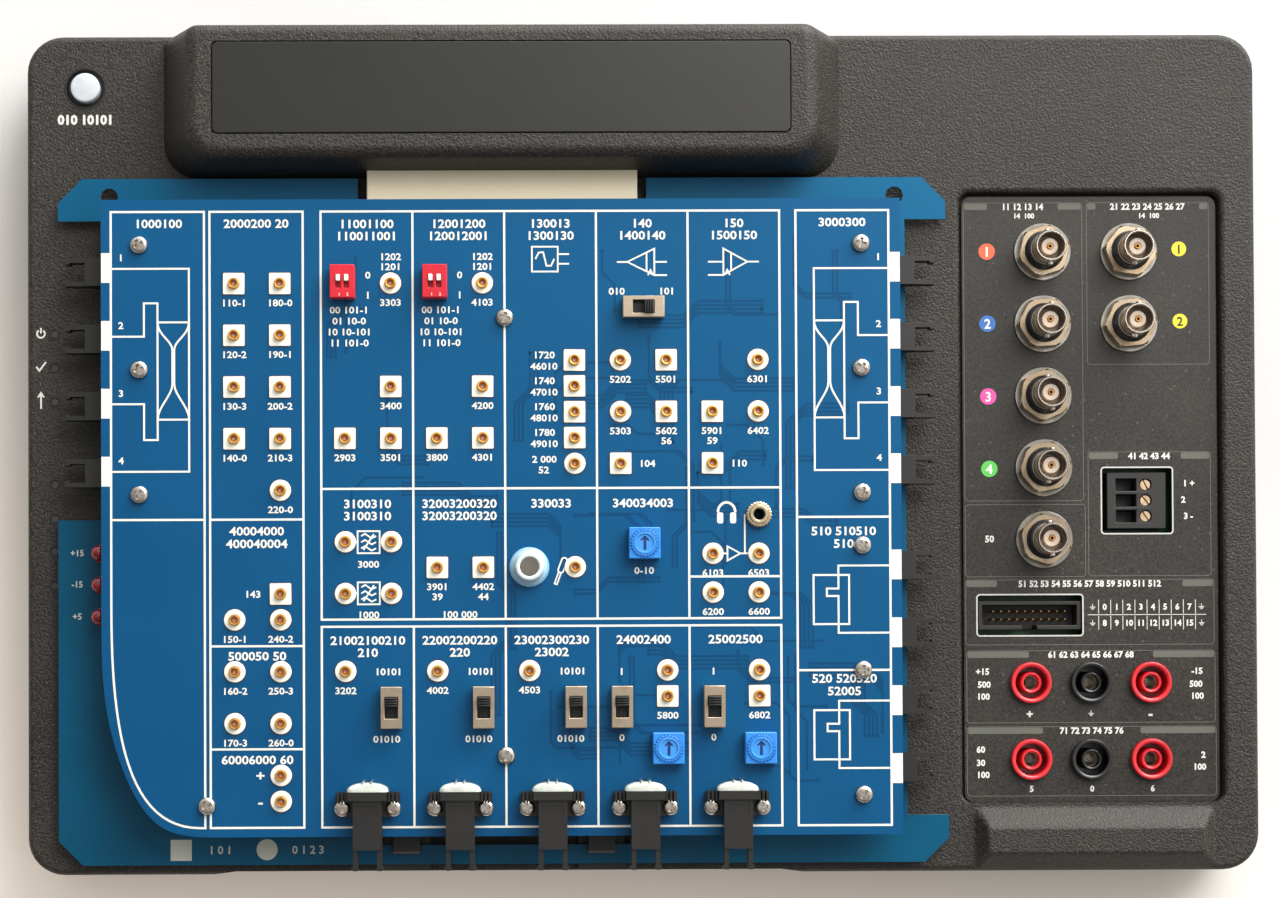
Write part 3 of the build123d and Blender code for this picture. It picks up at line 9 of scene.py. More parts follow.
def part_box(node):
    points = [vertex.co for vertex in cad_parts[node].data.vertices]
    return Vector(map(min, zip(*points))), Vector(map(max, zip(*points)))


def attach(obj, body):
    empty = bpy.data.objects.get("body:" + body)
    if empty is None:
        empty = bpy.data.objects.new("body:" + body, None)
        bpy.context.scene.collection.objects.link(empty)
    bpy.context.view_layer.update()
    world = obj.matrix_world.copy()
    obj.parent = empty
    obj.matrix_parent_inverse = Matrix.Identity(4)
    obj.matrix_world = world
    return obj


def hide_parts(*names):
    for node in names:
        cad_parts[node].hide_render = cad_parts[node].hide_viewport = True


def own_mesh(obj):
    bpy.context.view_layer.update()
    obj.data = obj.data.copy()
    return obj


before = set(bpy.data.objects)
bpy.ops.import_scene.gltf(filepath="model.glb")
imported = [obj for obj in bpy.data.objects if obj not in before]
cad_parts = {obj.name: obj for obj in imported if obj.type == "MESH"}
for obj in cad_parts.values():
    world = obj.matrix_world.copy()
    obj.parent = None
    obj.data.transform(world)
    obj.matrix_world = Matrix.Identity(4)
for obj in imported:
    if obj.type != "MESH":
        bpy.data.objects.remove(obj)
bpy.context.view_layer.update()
mm = 0.001

# The copy-stand camera. It hangs 0.82 m over the trainer board, low and left of the console's middle, and
# leans by under a degree toward the middle. The shift makes up the rest of the photograph's off-centre view.
eye = Vector((-40.86, -59.55, 845.89)) * mm
aim = Vector((-33.61, -48.11, 29.6)) * mm
film_roll = math.radians(0.24)
camera_data = bpy.data.cameras.new("copy_stand_camera")
camera_data.lens = 72.49
camera_data.sensor_width = 36.0
camera_data.shift_x = 0.08
camera_data.shift_y = 0.1223
camera = bpy.data.objects.new("copy_stand_camera", camera_data)
bpy.context.scene.collection.objects.link(camera)
look = (aim - eye).normalized()
film_right = look.cross(Vector((0, 1, 0))).normalized()
film_up = film_right.cross(look)
turn = Matrix((film_right, film_up, -look)).transposed().to_4x4()
camera.matrix_world = Matrix.Translation(eye) @ turn @ Matrix.Rotation(-film_roll, 4, "Z")
bpy.context.scene.camera = camera
bpy.context.scene.view_settings.view_transform = "Standard"


# Materials: one wire class for sums, and one finish class that adds every other kind of node.
# Colours are written as they look on a sample card, in steps of 0 to 255.
def card(red, green, blue):
    """The shader's colour for a sample card's."""
    steps = []
    for value in (red, green, blue):
        share = value / 255
        steps.append(share / 12.92 if share <= 0.04045 else ((share + 0.055) / 1.055) ** 2.4)
    return (*steps, 1.0)


class Wire:
    """One output of a node, so that sums and comparisons on it can be written out."""

    def __init__(self, tree, socket):
        self.tree = tree
        self.socket = socket

    def sum(self, operation, other):
        maths = self.tree.nodes.new("ShaderNodeMath")
        maths.operation = operation
        self.tree.links.new(self.socket, maths.inputs[0])
        if isinstance(other, Wire):
            self.tree.links.new(other.socket, maths.inputs[1])
        else:
            maths.inputs[1].default_value = other
        return Wire(self.tree, maths.outputs[0])

    def __add__(self, other):
        return self.sum("ADD", other)

    def __sub__(self, other):
        return self.sum("SUBTRACT", other)

    def __rsub__(self, other):
        return self * -1.0 + other

    def __mul__(self, other):
        return self.sum("MULTIPLY", other)

    def __truediv__(self, other):
        return self.sum("DIVIDE", other)

    def __gt__(self, other):
        return self.sum("GREATER_THAN", other)

    def __lt__(self, other):
        return self.sum("LESS_THAN", other)

    def __abs__(self):
        return self.sum("ABSOLUTE", 0.0)

    def most(self, other):
        return self.sum("MAXIMUM", other)

    __radd__ = __add__
    __rmul__ = __mul__


class Finish:
    """A material as it is mixed: the shader's steady settings first, then what varies over the piece."""

    def __init__(self, name, steady):
        self.material = bpy.data.materials.new(name)
        self.material.use_nodes = True
        self.tree = self.material.node_tree
        self.shader = self.tree.nodes["Principled BSDF"]
        for label, value in steady.items():
            self.shader.inputs[label].default_value = value
        self.place = self.node("ShaderNodeTexCoord", {}, {}, "Object")

    def node(self, kind, settings, sockets, output=0):
        """Adds a node: its settings, then a value or a wire for each of its sockets."""
        made = self.tree.nodes.new(kind)
        for label, value in settings.items():
            setattr(made, label, value)
        for label, value in sockets.items():
            if isinstance(value, Wire):
                self.tree.links.new(value.socket, made.inputs[label])
            else:
                made.inputs[label].default_value = value
        return self.other(made, output)

    def other(self, made, output):
        """One more output of a node, by its number or its label."""
        return Wire(self.tree, made.outputs[output])

    def vary(self, label, wire):
        """Gives a socket of the shader something that changes over the surface."""
        self.tree.links.new(wire.socket, self.shader.inputs[label])

    def axes(self):
        """How far across and along the object a point lies, in metres."""
        across = self.node("ShaderNodeSeparateXYZ", {}, {"Vector": self.place})
        return across, self.other(across.socket.node, "Y")

    def grain(self, size, detail=2.0, shift=0.0, stretch=(1.0, 1.0, 1.0)):
        """Cloudy noise from 0 to 1 whose lumps are about size metres across."""
        scale = [share / size for share in stretch]
        placed = self.node("ShaderNodeMapping", {}, {0: self.place, 1: (shift, shift, shift), 3: scale})
        settings = {"noise_dimensions": "3D"}
        return self.node("ShaderNodeTexNoise", settings, {"Vector": placed, "Scale": 1.0, "Detail": detail})

    def speckle(self, size, share):
        """1 in scattered specks, and 0 between them: a share of cells of the given size."""
        placed = self.node("ShaderNodeMapping", {}, {0: self.place, 3: (1 / size, 1 / size, 1 / size)})
        cells = self.node("ShaderNodeTexVoronoi", {"feature": "F1"}, {"Vector": placed, "Scale": 1.0})
        own = self.other(cells.socket.node, "Color")
        return (cells < 0.3) * (self.node("ShaderNodeSeparateColor", {}, {0: own}) > 1 - share)

    def ramp(self, wire, low, high):
        """Stretches a wire so that low reads 0 and high reads 1."""
        sockets = {"Value": wire, "From Min": low, "From Max": high}
        return self.node("ShaderNodeMapRange", {"clamp": True}, sockets)

    def blend(self, share, first, second):
        """Mixes two colours, each a card colour or a wire."""
        settings = {"data_type": "RGBA"}
        return self.node("ShaderNodeMix", settings, {0: share, 6: first, 7: second}, 2)

    def relief(self, height, depth, strength=1.0):
        """Raises the surface by a height of 0 to 1 times depth metres."""
        sockets = {"Height": height, "Distance": depth, "Strength": strength}
        self.vary("Normal", self.node("ShaderNodeBump", {}, sockets))


# The bench top: pale laminate that takes the window's light at the back and falls to warm grey toward the
# front left corner of the picture. Its colour is painted paler and warmer toward that corner, as painted
# bounce light in the console's shadow. A small painted glow, seen only by the camera and reflections, lifts
# that corner further.
bench_half = 3.0
bench_mesh = bpy.data.meshes.new("bench_top")
corners = [(-bench_half, -bench_half, 0), (bench_half, -bench_half, 0)]
corners += [(bench_half, bench_half, 0), (-bench_half, bench_half, 0)]
bench_mesh.from_pydata(corners, [], [(0, 1, 2, 3)])
bench = bpy.data.objects.new("bench_top", bench_mesh)
bpy.context.scene.collection.objects.link(bench)
laminate = Finish("laminate", {"Roughness": 0.9, "Specular IOR Level": 0.1, "Emission Strength": 1.0})
across, along = laminate.axes()
toward_light = laminate.ramp(along + 0.45 * across, -0.22, 0.1)
# Painted light: the laminate's colour is paler and warmer toward the front left, in the console's shadow, and
# grey toward the window.
lit = laminate.blend(toward_light, card(236, 229, 221), card(213, 213, 213))
mottle = laminate.ramp(laminate.grain(0.004, 3.0), 0.3, 0.7)
laminate.vary("Base Color", laminate.blend(mottle * 0.02, lit, card(150, 140, 130)))
seen = laminate.node("ShaderNodeLightPath", {}, {}, "Is Camera Ray")
light_path = seen.socket.node
for ray in ("Is Glossy Ray", "Is Transmission Ray"):
    seen = seen.most(laminate.other(light_path, ray))
# haze is a painted glow, warm toward the front left corner, that only the camera and reflections see.
haze = laminate.blend(toward_light, card(128, 116, 104), card(0, 0, 0))
laminate.vary("Emission Color", laminate.blend(seen, card(0, 0, 0), haze))
bench.data.materials.append(laminate.material)

# Light: the room's own even light, brighter toward the windows behind on the right, and one wide window over
# the back right corner, whose size keeps the shadows soft.
room = bpy.data.worlds.new("room")
bpy.context.scene.world = room
room.use_nodes = True
sky = room.node_tree.nodes
link = room.node_tree.links.new
room_light = sky["Background"]
room_light.inputs["Color"].default_value = (1.0, 0.99, 0.975, 1.0)
direction = sky.new("ShaderNodeTexCoord")
toward_windows = sky.new("ShaderNodeVectorMath")
toward_windows.operation = "DOT_PRODUCT"
toward_windows.inputs[1].default_value = (0.5, 0.87, 0.0)
link(direction.outputs["Generated"], toward_windows.inputs[0])
both = sky.new("ShaderNodeMath")
even_light = (-0.45, 0.6, 0.25, 1.2)
low_windows = (0.78, 0.98, 0.0, 14.0)
for place, band in enumerate((even_light, low_windows)):
    brightness = sky.new("ShaderNodeMapRange")
    for label, value in zip(("From Min", "From Max", "To Min", "To Max"), band):
        brightness.inputs[label].default_value = value
    link(toward_windows.outputs["Value"], brightness.inputs["Value"])
    link(brightness.outputs["Result"], both.inputs[place])
link(both.outputs["Value"], room_light.inputs["Strength"])
lamp_data = bpy.data.lights.new("window", "AREA")
lamp_data.shape = "RECTANGLE"
lamp_data.size = 0.8
lamp_data.size_y = 0.5
lamp_data.energy = 8.2
lamp_data.color = (1.0, 0.985, 0.96)
lamp = bpy.data.objects.new("window", lamp_data)
bpy.context.scene.collection.objects.link(lamp)
lamp_place = Vector((0.38, 0.57, 0.9))
lamp_turn = (Vector((0, 0, 0.03)) - lamp_place).to_track_quat("-Z", "Y").to_matrix().to_4x4()
lamp.matrix_world = Matrix.Translation(lamp_place) @ lamp_turn

# Console shells: two halves moulded in black ABS with a fine spark texture, every outer edge broken by a
# soft radius in the mould. Screws from below hold the top shell to the base.


def held(name, data):
    """A new object in the scene, to be worked on."""
    holder = bpy.data.objects.new(name, data)
    bpy.context.scene.collection.objects.link(holder)
    return holder


def add_piece(name, mesh, material, body, *replaced, slot=None, smooth=40):
    """Puts a finished mesh on the object: its material, its body and the pieces it stands for."""
    piece = held(name, mesh)
    mesh.materials.clear()
    mesh.materials.append(material)
    mesh.polygons.foreach_set("use_smooth", [True] * len(mesh.polygons))
    mesh.set_sharp_from_angle(angle=math.radians(smooth))
    if replaced:
        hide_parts(*replaced)
    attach(piece, body)
    return piece


def flat_faces_flat(piece):
    """Keeps the shading of a piece's flat faces flat beside its rounds."""
    shading = piece.modifiers.new("flat faces stay flat", "WEIGHTED_NORMAL")
    shading.keep_sharp = True
    shading.weight = 80


def spark_texture(name, dark, light, fleck, depth):
    """Spark-eroded ABS: close dark pits, paler tops and a few bright flecks of caught light."""
    moulding = Finish(name, {"Roughness": 0.5, "Specular IOR Level": 0.45})
    pits = moulding.ramp(moulding.grain(0.0007, 3.0), 0.38, 0.62)
    patches = moulding.ramp(moulding.grain(0.05, 3.0, 4.0), 0.3, 0.7)
    flecks = moulding.speckle(0.0006, 0.1)
    tone = moulding.blend(pits * 0.75 + patches * 0.25, dark, light)
    moulding.vary("Base Color", moulding.blend(flecks * 0.45, tone, fleck))
    moulding.vary("Roughness", 0.46 + 0.16 * pits)
    moulding.relief(pits + 0.6 * flecks, depth, 0.8)
    return moulding.material


def box_run(left, low, right, high, corner=0.0, steps=4, back_corner=None):
    """The closed run of a box, with rounded corners where a corner radius is given."""
    if not corner:
        return [(left, low), (right, low), (right, high), (left, high), (left, low)]
    far = corner if back_corner is None else back_corner
    run = []
    ends = ((right, low, corner, -90), (right, high, far, 0), (left, high, far, 90), (left, low, corner, 180))
    for x, y, radius, start in ends:
        middle_x = x - radius if x == right else x + radius
        middle_y = y + radius if y == low else y - radius
        for step in range(steps + 1):
            angle = math.radians(start + 90 * step / steps)
            run.append((middle_x + radius * math.cos(angle), middle_y + radius * math.sin(angle)))
    return run + run[:1]


def plain_mesh(name, form, outward=True):
    """Turns a finished form into a mesh, by default with its faces turned outward first."""
    if outward:
        bmesh.ops.recalc_face_normals(form, faces=form.faces)
    mesh = bpy.data.meshes.new(name)
    form.to_mesh(mesh)
    form.free()
    return mesh


def lay(form, rings, loop=False):
    """Adds a closed solid through rings of height and points, capped or with its last ring on its first."""
    stack = []
    for height, run in rings:
        points = run[:-1] if run[0] == run[-1] else run
        stack.append([form.verts.new((x * mm, y * mm, height * mm)) for x, y in points])
    if not loop:
        form.faces.new(stack[0][::-1])
        form.faces.new(stack[-1])
    for lower, upper in zip(stack, stack[1:] + stack[:1] * loop):
        for step in range(len(lower)):
            after = (step + 1) % len(lower)
            form.faces.new((lower[step], lower[after], upper[after], upper[step]))


def stacked(name, rings, loop=False):
    """A closed solid through a stack of outlines in millimetres: each ring is its height and its points."""
    form = bmesh.new()
    lay(form, rings, loop)
    return plain_mesh(name, form)


def filled(name, outlines, face, depth=0.04):
    """Flat patches or plain posts in millimetres that rise from a face, each outline a list of points."""
    form = bmesh.new()
    for outline in outlines:
        lay(form, [(face, outline), (face + depth, outline)])
    return plain_mesh(name, form)


def rounded_top(outline, top, radius, steps=4):
    """Rings that carry outline(height, inset) over a rounded edge onto a flat top."""
    rings = []
    for step in range(steps + 1):
        angle = math.pi / 2 * step / steps
        height = top - radius + radius * math.sin(angle)
        rings.append((height, outline(height, radius * (1 - math.cos(angle)))))
    return rings


def block(left, low, right, high, foot, top):
    """A plain box, as a tool to join or to cut with."""
    return filled("block", [box_run(left, low, right, high)], foot, top - foot)


def settled_mesh(holder):
    """A new mesh of an object with its modifiers done."""
    settled = bpy.context.evaluated_depsgraph_get()
    return bpy.data.meshes.new_from_object(holder.evaluated_get(settled), depsgraph=settled)


def shaped(mesh, *changes):
    """Joins other solids to a solid or cuts them out of it, in order: each change is how, then its tools."""
    blank = held("blank", mesh)
    tools = []
    for how, *solids in changes:
        for solid in solids:
            tools.append(held("tool", solid))
            change = blank.modifiers.new("change", "BOOLEAN")
            change.operation = how
            change.solver = "EXACT"
            change.object = tools[-1]
    made = settled_mesh(blank)
    made.name = mesh.name
    for item in (blank, *tools):
        bpy.data.objects.remove(item)
    return made


shell_tones = (card(11, 8, 6), card(54, 49, 42), card(132, 126, 116))
shell_abs = spark_texture("spark_textured_abs", *shell_tones, 0.00014)
half_length, half_depth, shell_corner = 194.5, 132.6, 11.5
split, shell_top, cavity_top, wall = 14.0, 32.0, 29.5, 2.5


def console_run(height, inset):
    """The console's outline, the same at every height, drawn in by inset."""
    long, deep, corner = half_length - inset, half_depth - inset, shell_corner - inset
    return box_run(-long, -deep, long, deep, corner, 8)


dock_x = -44.3
header_foot, header_top = 28.7, 55.0
header_front, header_back = 87.0, 132.3


def header_run(height, inset):
    """The header housing's outline at a height: it leans in on all sides and its corners tighten upward."""
    rise = height - shell_top
    half = 96.7 + 0.44 * (header_top - height) - inset
    front = header_front + 0.14 * rise + inset
    back = header_back - 0.05 * (rise + 2.5) - inset
    front_corner, back_corner = 11.5 - 0.1 * rise - 0.6 * inset, 4.2 - 0.6 * inset
    return box_run(dock_x - half, front, dock_x + half, back, front_corner, 8, back_corner)


ridge_top, ridge_rise = 37.0, 7.4


def ridge_run(height, inset):
    """The guard ridge's outline at a height: its ends flare out toward the foot in a hollow curve."""
    drop = (ridge_top - height) / ridge_rise
    left = 107.4 - 6.9 * drop**1.5 + inset
    right = 176.2 + 7.8 * drop**1.4 - inset
    low = max(-132.2, -126.7 - 7.25 * drop) + 0.6 * inset
    high = -118.6 + 9.9 * drop - 0.6 * inset
    return box_run(left, low, right, high, 1.4 + 1.2 * drop - 0.5 * inset, 5)


panel_box = (101.5, -111.1, 182.5, 81.3)


def recess_run(flare):
    """The instrument recess's outline, opened by flare on three sides."""
    left, low, right, high = panel_box
    return box_run(left - flare, low, right + flare, high + flare, 3.0 + 0.4 * flare, 5)


def disc_run(x, y, radius, steps=28):
    """The closed run of a circle."""
    angles = [2 * math.pi * step / steps for step in range(steps)]
    run = [(x + radius * math.cos(angle), y + radius * math.sin(angle)) for angle in angles]
    return run + run[:1]


def posts(places, radius, foot, top, sides=28):
    """Round posts or holes that stand at a list of places, as one tool."""
    return filled("posts", [disc_run(x, y, radius, sides) for x, y in places], foot, top - foot)


body = [(split, console_run(split, 0.3)), (split + 0.3, console_run(split, 0.0))]
body += rounded_top(console_run, shell_top, 2.0, 5)
header = [(header_foot, header_run(header_foot, 0.0))] + rounded_top(header_run, header_top, 3.2, 6)
ridge_heights = (28.6, 29.6, 30.6, 31.8, 33.0, 34.2, 35.2)
ridge = [(height, ridge_run(height, 0.0)) for height in ridge_heights]
ridge += rounded_top(ridge_run, ridge_top, 1.1, 4)
recess_steps = ((27.6, 0.7), (31.0, 1.0), (31.5, 1.4), (31.85, 2.0), (32.02, 2.7))
recess = [(height, recess_run(flare)) for height, flare in recess_steps]
hollow = [(13.0, console_run(13.0, wall)), (cavity_top, console_run(cavity_top, wall))]
head_room = [(height, header_run(height, wall)) for height in (28.0, 52.5)]
plate_seat = box_run(dock_x - 89.35, 96.9, dock_x + 89.35, 125.7, 1.7, 3)
button_place = (-175.9, 116.0)
light_x = -185.7
light_rows = (38.1, 27.4, 16.7, -9.4, -20.2, -30.5, -41.4)
pad_places = [(x, y) for x in (-110.0, 25.0) for y in (56.0, -20.4, -98.0)]
boss_places = [(x, y) for x in (-188.5, 188.5) for y in (-120.0, 100.0)] + [(76.0, -127.0), (76.0, 127.0)]
front_dip = [(-137.0, -134.0), (-136.0, -132.55), (-129.0, -131.55)]
front_dip += [(43.0, -131.55), (50.0, -132.55), (51.0, -134.0)]
pads = posts(pad_places, 4.0, 30.0, 34.2, 12)
bosses = posts(boss_places, 4.0, split, 30.0, 12)
recess_frame = block(98.5, -114.1, 185.5, 84.3, 25.1, 29.7)
recess_window = block(104.5, -108.1, 179.5, 78.3, 20.0, 28.0)
dock_mouth = block(dock_x - 42.7, 77.7, dock_x + 42.7, 111.0, 30.4, 40.3)
dock_slot = block(dock_x - 42.7, 98.7, dock_x + 42.7, 104.3, 19.6, 30.5)
button_hole = posts([button_place], 4.9, 28.0, 33.0, 40)
button_sink = posts([button_place], 6.1, 30.2, 33.0, 40)
light_holes = posts([(light_x, row) for row in light_rows], 1.35, 28.0, 33.0, 16)
latch_slots = [block(x - 3.3, -124.3, x + 3.3, -114.7, 28.0, 33.0) for x in (-75.0, -14.0)]
power_way = block(115.2, 129.0, 124.8, 134.0, 19.6, 29.1)
data_way = block(87.2, 129.0, 96.8, 134.0, 19.6, 23.2)
front_way = filled("front_way", [front_dip], 1.0, 39.0)
shell = shaped(
    stacked("moulded_top_shell", body),
    ("UNION", stacked("header", header)),
    ("DIFFERENCE", stacked("hollow", hollow), stacked("head_room", head_room)),
    ("DIFFERENCE", filled("plate_seat", [plate_seat], 54.0, 2.0)),
    ("UNION", recess_frame, pads, bosses, stacked("ridge", ridge)),
    ("DIFFERENCE", stacked("recess", recess), recess_window, dock_mouth, dock_slot, button_hole, button_sink),
    ("DIFFERENCE", light_holes, *latch_slots, power_way, data_way, front_way),
)
top = add_piece("moulded_top_shell", shell, shell_abs, "console", "console_top_shell", slot="shell_black")
flat_faces_flat(top)

base_low, floor_top, base_round = 2.5, 5.0, 2.4
tray = [(base_low - height, run) for height, run in rounded_top(console_run, 0.0, base_round, 5)[::-1]]
tray += [(split - 0.3, console_run(split, 0.0)), (split, console_run(split, 0.3))]
tray_hollow = [(height, console_run(height, wall)) for height in (floor_top, 15.0)]
foot_places = [(x, y) for x in (-170.0, 170.0) for y in (-108.1, 108.1)]
post_places = [(x, y) for x in (-148.0, 0.0, 74.0) for y in (-67.4, 67.5)]
base = shaped(
    stacked("moulded_base_shell", tray),
    ("DIFFERENCE", stacked("tray_hollow", tray_hollow)),
    ("UNION", posts(boss_places, 4.0, 4.0, split, 12), posts(post_places, 3.0, 4.0, 18.0, 12)),
    ("DIFFERENCE", posts(foot_places, 7.6, 2.0, 3.1, 40), filled("front_way", [front_dip], 1.0, 39.0)),
)
tub = add_piece("moulded_base_shell", base, shell_abs, "console", "console_bottom_shell", slot="shell_black")
flat_faces_flat(tub)

# Rubber feet, pressed into the base shell, and the plate let into the header: satin sheet, left plain, with a
# narrow shadow line round it.


def card_mesh(node, name):
    """A copy of a construction piece's surface, its triangles joined into whole faces below its top plane."""
    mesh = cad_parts[node].data.copy()
    mesh.name = name
    form = bmesh.new()
    form.from_mesh(mesh)
    bmesh.ops.remove_doubles(form, verts=form.verts, dist=2e-6)
    top = max(vert.co.z for vert in form.verts) - 1e-5
    below_top = [edge for edge in form.edges if min(vert.co.z for vert in edge.verts) < top]
    bmesh.ops.dissolve_limit(form, angle_limit=math.radians(0.4), verts=[], edges=below_top)
    form.to_mesh(mesh)
    form.free()
    mesh.materials.clear()
    return mesh


def round_off(piece, width, segments, angle):
    """Rounds a piece's edges that are sharper than angle."""
    bevel = piece.modifiers.new("broken edges", "BEVEL")
    bevel.width = width
    bevel.segments = segments
    bevel.limit_method = "ANGLE"
    bevel.angle_limit = math.radians(angle)
    flat_faces_flat(piece)


def edge_copy(name, node, width, material, body, slot, segments=2):
    """A construction piece with its sharp edges broken by width."""
    piece = add_piece(name, card_mesh(node, name), material, body, node, slot=slot, smooth=30)
    round_off(piece, width, segments, 30)


def satin(name, dark, light, size, roughness, depth=0.00001, steady=()):
    """A moulded or rolled skin that is even from a step away and finely grained close up."""
    skin = Finish(name, {"Roughness": roughness, **dict(steady)})
    fine = skin.grain(size, 3.0)
    broad = skin.ramp(skin.grain(40 * size, 2.0, 3.0), 0.3, 0.7)
    skin.vary("Base Color", skin.blend(fine * 0.6 + broad * 0.4, dark, light))
    skin.vary("Roughness", roughness - 0.06 + 0.12 * fine)
    skin.relief(fine, depth)
    return skin.material


foot_rubber = satin("foot_rubber", card(26, 26, 26), card(40, 40, 39), 0.0008, 0.85)
edge_copy("pressed_feet", "rubber_feet", 0.6 * mm, foot_rubber, "console", "rubber_black")
plate_film = satin("header_plate_film", card(12, 11, 9), card(22, 21, 18), 0.0005, 0.4, 0.000008)
edge_copy("inlaid_plate", "header_plate", 0.25 * mm, plate_film, "console", "plate_black", 3)

# The console's own circuit board: fibreglass under a green solder mask. It stands on moulded posts between
# the two shells, where little of it is seen.


def coat(node, material):
    """Gives a construction piece that stays as it is its material."""
    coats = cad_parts[node].data.materials
    coats.clear()
    coats.append(material)


coat("console_circuit_board", satin("inner_board_mask", card(18, 74, 44), card(30, 96, 60), 0.001, 0.35))

# Instrument panel: black film over a flat plate, let into the console's recess. Its lines, bars and figures
# are screen-printed, so they stand a few hundredths of a millimetre proud.
film = Finish("panel_film", {"Roughness": 0.48, "Specular IOR Level": 0.4})
film_grain = film.ramp(film.grain(0.0007, 3.0), 0.38, 0.62)
film_cloud = film.ramp(film.grain(0.03, 3.0, 2.0), 0.3, 0.7)
dust = film.speckle(0.0012, 0.04)
film_tone = film.blend(film_grain * 0.7 + film_cloud * 0.3, card(20, 17, 14), card(56, 52, 46))
film.vary("Base Color", film.blend(dust * 0.5, film_tone, card(96, 93, 88)))
film.vary("Roughness", 0.42 + 0.14 * film_grain)
film.relief(film_grain, 0.00001)
coat("instrument_panel", film.material)


def grow(tree, kind, sockets, settings=(), output=0):
    """Adds a node to a shape tree: its settings, then a value or a link for each socket. Gives an output."""
    made = tree.nodes.new(kind)
    for label, value in dict(settings).items():
        setattr(made, label, value)
    for label, value in sockets.items():
        if isinstance(value, bpy.types.NodeSocket):
            tree.links.new(value, made.inputs[label])
        else:
            made.inputs[label].default_value = value
    return made.outputs[output] if made.outputs else None


def shape_tree(name, inputs):
    """A shape tree with its geometry sockets and named inputs, and its input node."""
    tree = bpy.data.node_groups.new(name, "GeometryNodeTree")
    for way in ("OUTPUT", "INPUT"):
        tree.interface.new_socket("Geometry", in_out=way, socket_type="NodeSocketGeometry")
    for label, kind in inputs:
        tree.interface.new_socket(label, in_out="INPUT", socket_type="NodeSocket" + kind)
    return tree, tree.nodes.new("NodeGroupInput").outputs


def end_tree(tree, shape, finish):
    """Ends a shape tree: its copies made real and given their material."""
    solid = grow(tree, "GeometryNodeRealizeInstances", {"Geometry": shape})
    dressed = grow(tree, "GeometryNodeSetMaterial", {"Geometry": solid, "Material": finish})
    grow(tree, "NodeGroupOutput", {"Geometry": dressed})


def run_tree(name, seed_mesh, tree, values):
    """Runs a shape tree on a mesh of points or runs, and gives the plain mesh that it makes."""
    holder = held(name + "_setting_out", seed_mesh)
    growth = holder.modifiers.new("growth", "NODES")
    growth.node_group = tree
    for socket in tree.interface.items_tree:
        if socket.in_out == "INPUT" and socket.name in values:
            growth[socket.identifier] = values[socket.name]
    made = settled_mesh(holder)
    made.name = name
    bpy.data.objects.remove(holder)
    return made


line_inputs = (("Line width", "Float"), ("Ink depth", "Float"), ("Finish", "Material"))
ink_tree, inlet = shape_tree("printed_lines", line_inputs)
paths = grow(ink_tree, "GeometryNodeMeshToCurve", {"Mesh": inlet["Geometry"]})
upright = grow(ink_tree, "GeometryNodeSetCurveNormal", {"Curve": paths}, {"mode": "Z_UP"})
mitre = grow(ink_tree, "GeometryNodeInputNamedAttribute", {"Name": "mitre"}, {"data_type": "FLOAT"})
stroke_size = {"Width": inlet["Line width"], "Height": inlet["Ink depth"]}
stroke = grow(ink_tree, "GeometryNodeCurvePrimitiveQuadrilateral", stroke_size)
strip_sockets = {"Curve": upright, "Profile Curve": stroke, "Scale": mitre, "Fill Caps": True}
strip = grow(ink_tree, "GeometryNodeCurveToMesh", strip_sockets)
end_tree(ink_tree, strip, inlet["Finish"])


def drawn(name, runs, width, face, material, depth=0.04):
    """Lines in millimetres as thin strips of ink on a face; a run that ends at its start is closed."""
    places, links, mitres = [], [], []
    for number, run in enumerate(runs):
        closed = run[0] == run[-1]
        level = face + depth / 2 + 0.0006 * (number % 7)
        points = [Vector(point) for point in (run[:-1] if closed else run)]
        first = len(places)
        for step, point in enumerate(points):
            places.append((point.x * mm, point.y * mm, level * mm))
            before = points[step - 1] if step or closed else None
            after = points[(step + 1) % len(points)] if step + 1 < len(points) or closed else None
            if before is None or after is None:
                mitres.append(1.0)
                continue
            bend = (point - before).normalized().dot((after - point).normalized())
            mitres.append(1 / max(0.5, math.sqrt((1 + bend) / 2)))
        links += [(first + step, first + step + 1) for step in range(len(points) - 1)]
        if closed:
            links.append((first + len(points) - 1, first))
    lines = bpy.data.meshes.new(name + "_runs")
    lines.from_pydata(places, links, [])
    lines.attributes.new("mitre", "FLOAT", "POINT").data.foreach_set("value", mitres)
    values = {"Line width": width * mm, "Ink depth": depth * mm, "Finish": material}
    return run_tree(name, lines, ink_tree, values)


def meshed(curve):
    """A curve or a line of text as a plain mesh."""
    holder = held(curve.name, curve)
    mesh = settled_mesh(holder)
    bpy.data.objects.remove(holder)
    return mesh


figure_share = 0.73


def figures(name, entries, face, depth=0.04, wide=1.0, weight=0.03):
    """Numbers and signs printed on a face: each entry is its text, its middle and its height."""
    form = bmesh.new()
    for text, x, y, height in entries:
        letter = bpy.data.curves.new(name + "_text", "FONT")
        letter.body = text
        letter.size = height * mm / figure_share
        letter.align_x = "CENTER"
        letter.resolution_u = 2
        letter.offset = weight * height * mm
        letter.extrude = depth / 2 * mm
        flat = meshed(letter)
        flat.transform(Matrix.Diagonal((wide, 1, 1, 1)) @ Matrix.Translation((0, -height / 2 * mm, 0)))
        flat.transform(Matrix.Translation((x * mm, y * mm, (face + depth / 2) * mm)))
        form.from_mesh(flat)
        bpy.data.meshes.remove(flat)
    bmesh.ops.remove_doubles(form, verts=form.verts, dist=1e-7)
    return plain_mesh(name, form, False)


def ink(name, tone, worn, roughness=0.6):
    """Screen ink: even, with the faint mottle of the mesh it was pressed through."""
    print_ink = Finish(name, {"Roughness": roughness})
    mottling = print_ink.ramp(print_ink.grain(0.0004, 3.0), 0.3, 0.75)
    print_ink.vary("Base Color", print_ink.blend(mottling * 0.5, tone, worn))
    print_ink.vary("Roughness", roughness - 0.08 + 0.16 * mottling)
    return print_ink.material


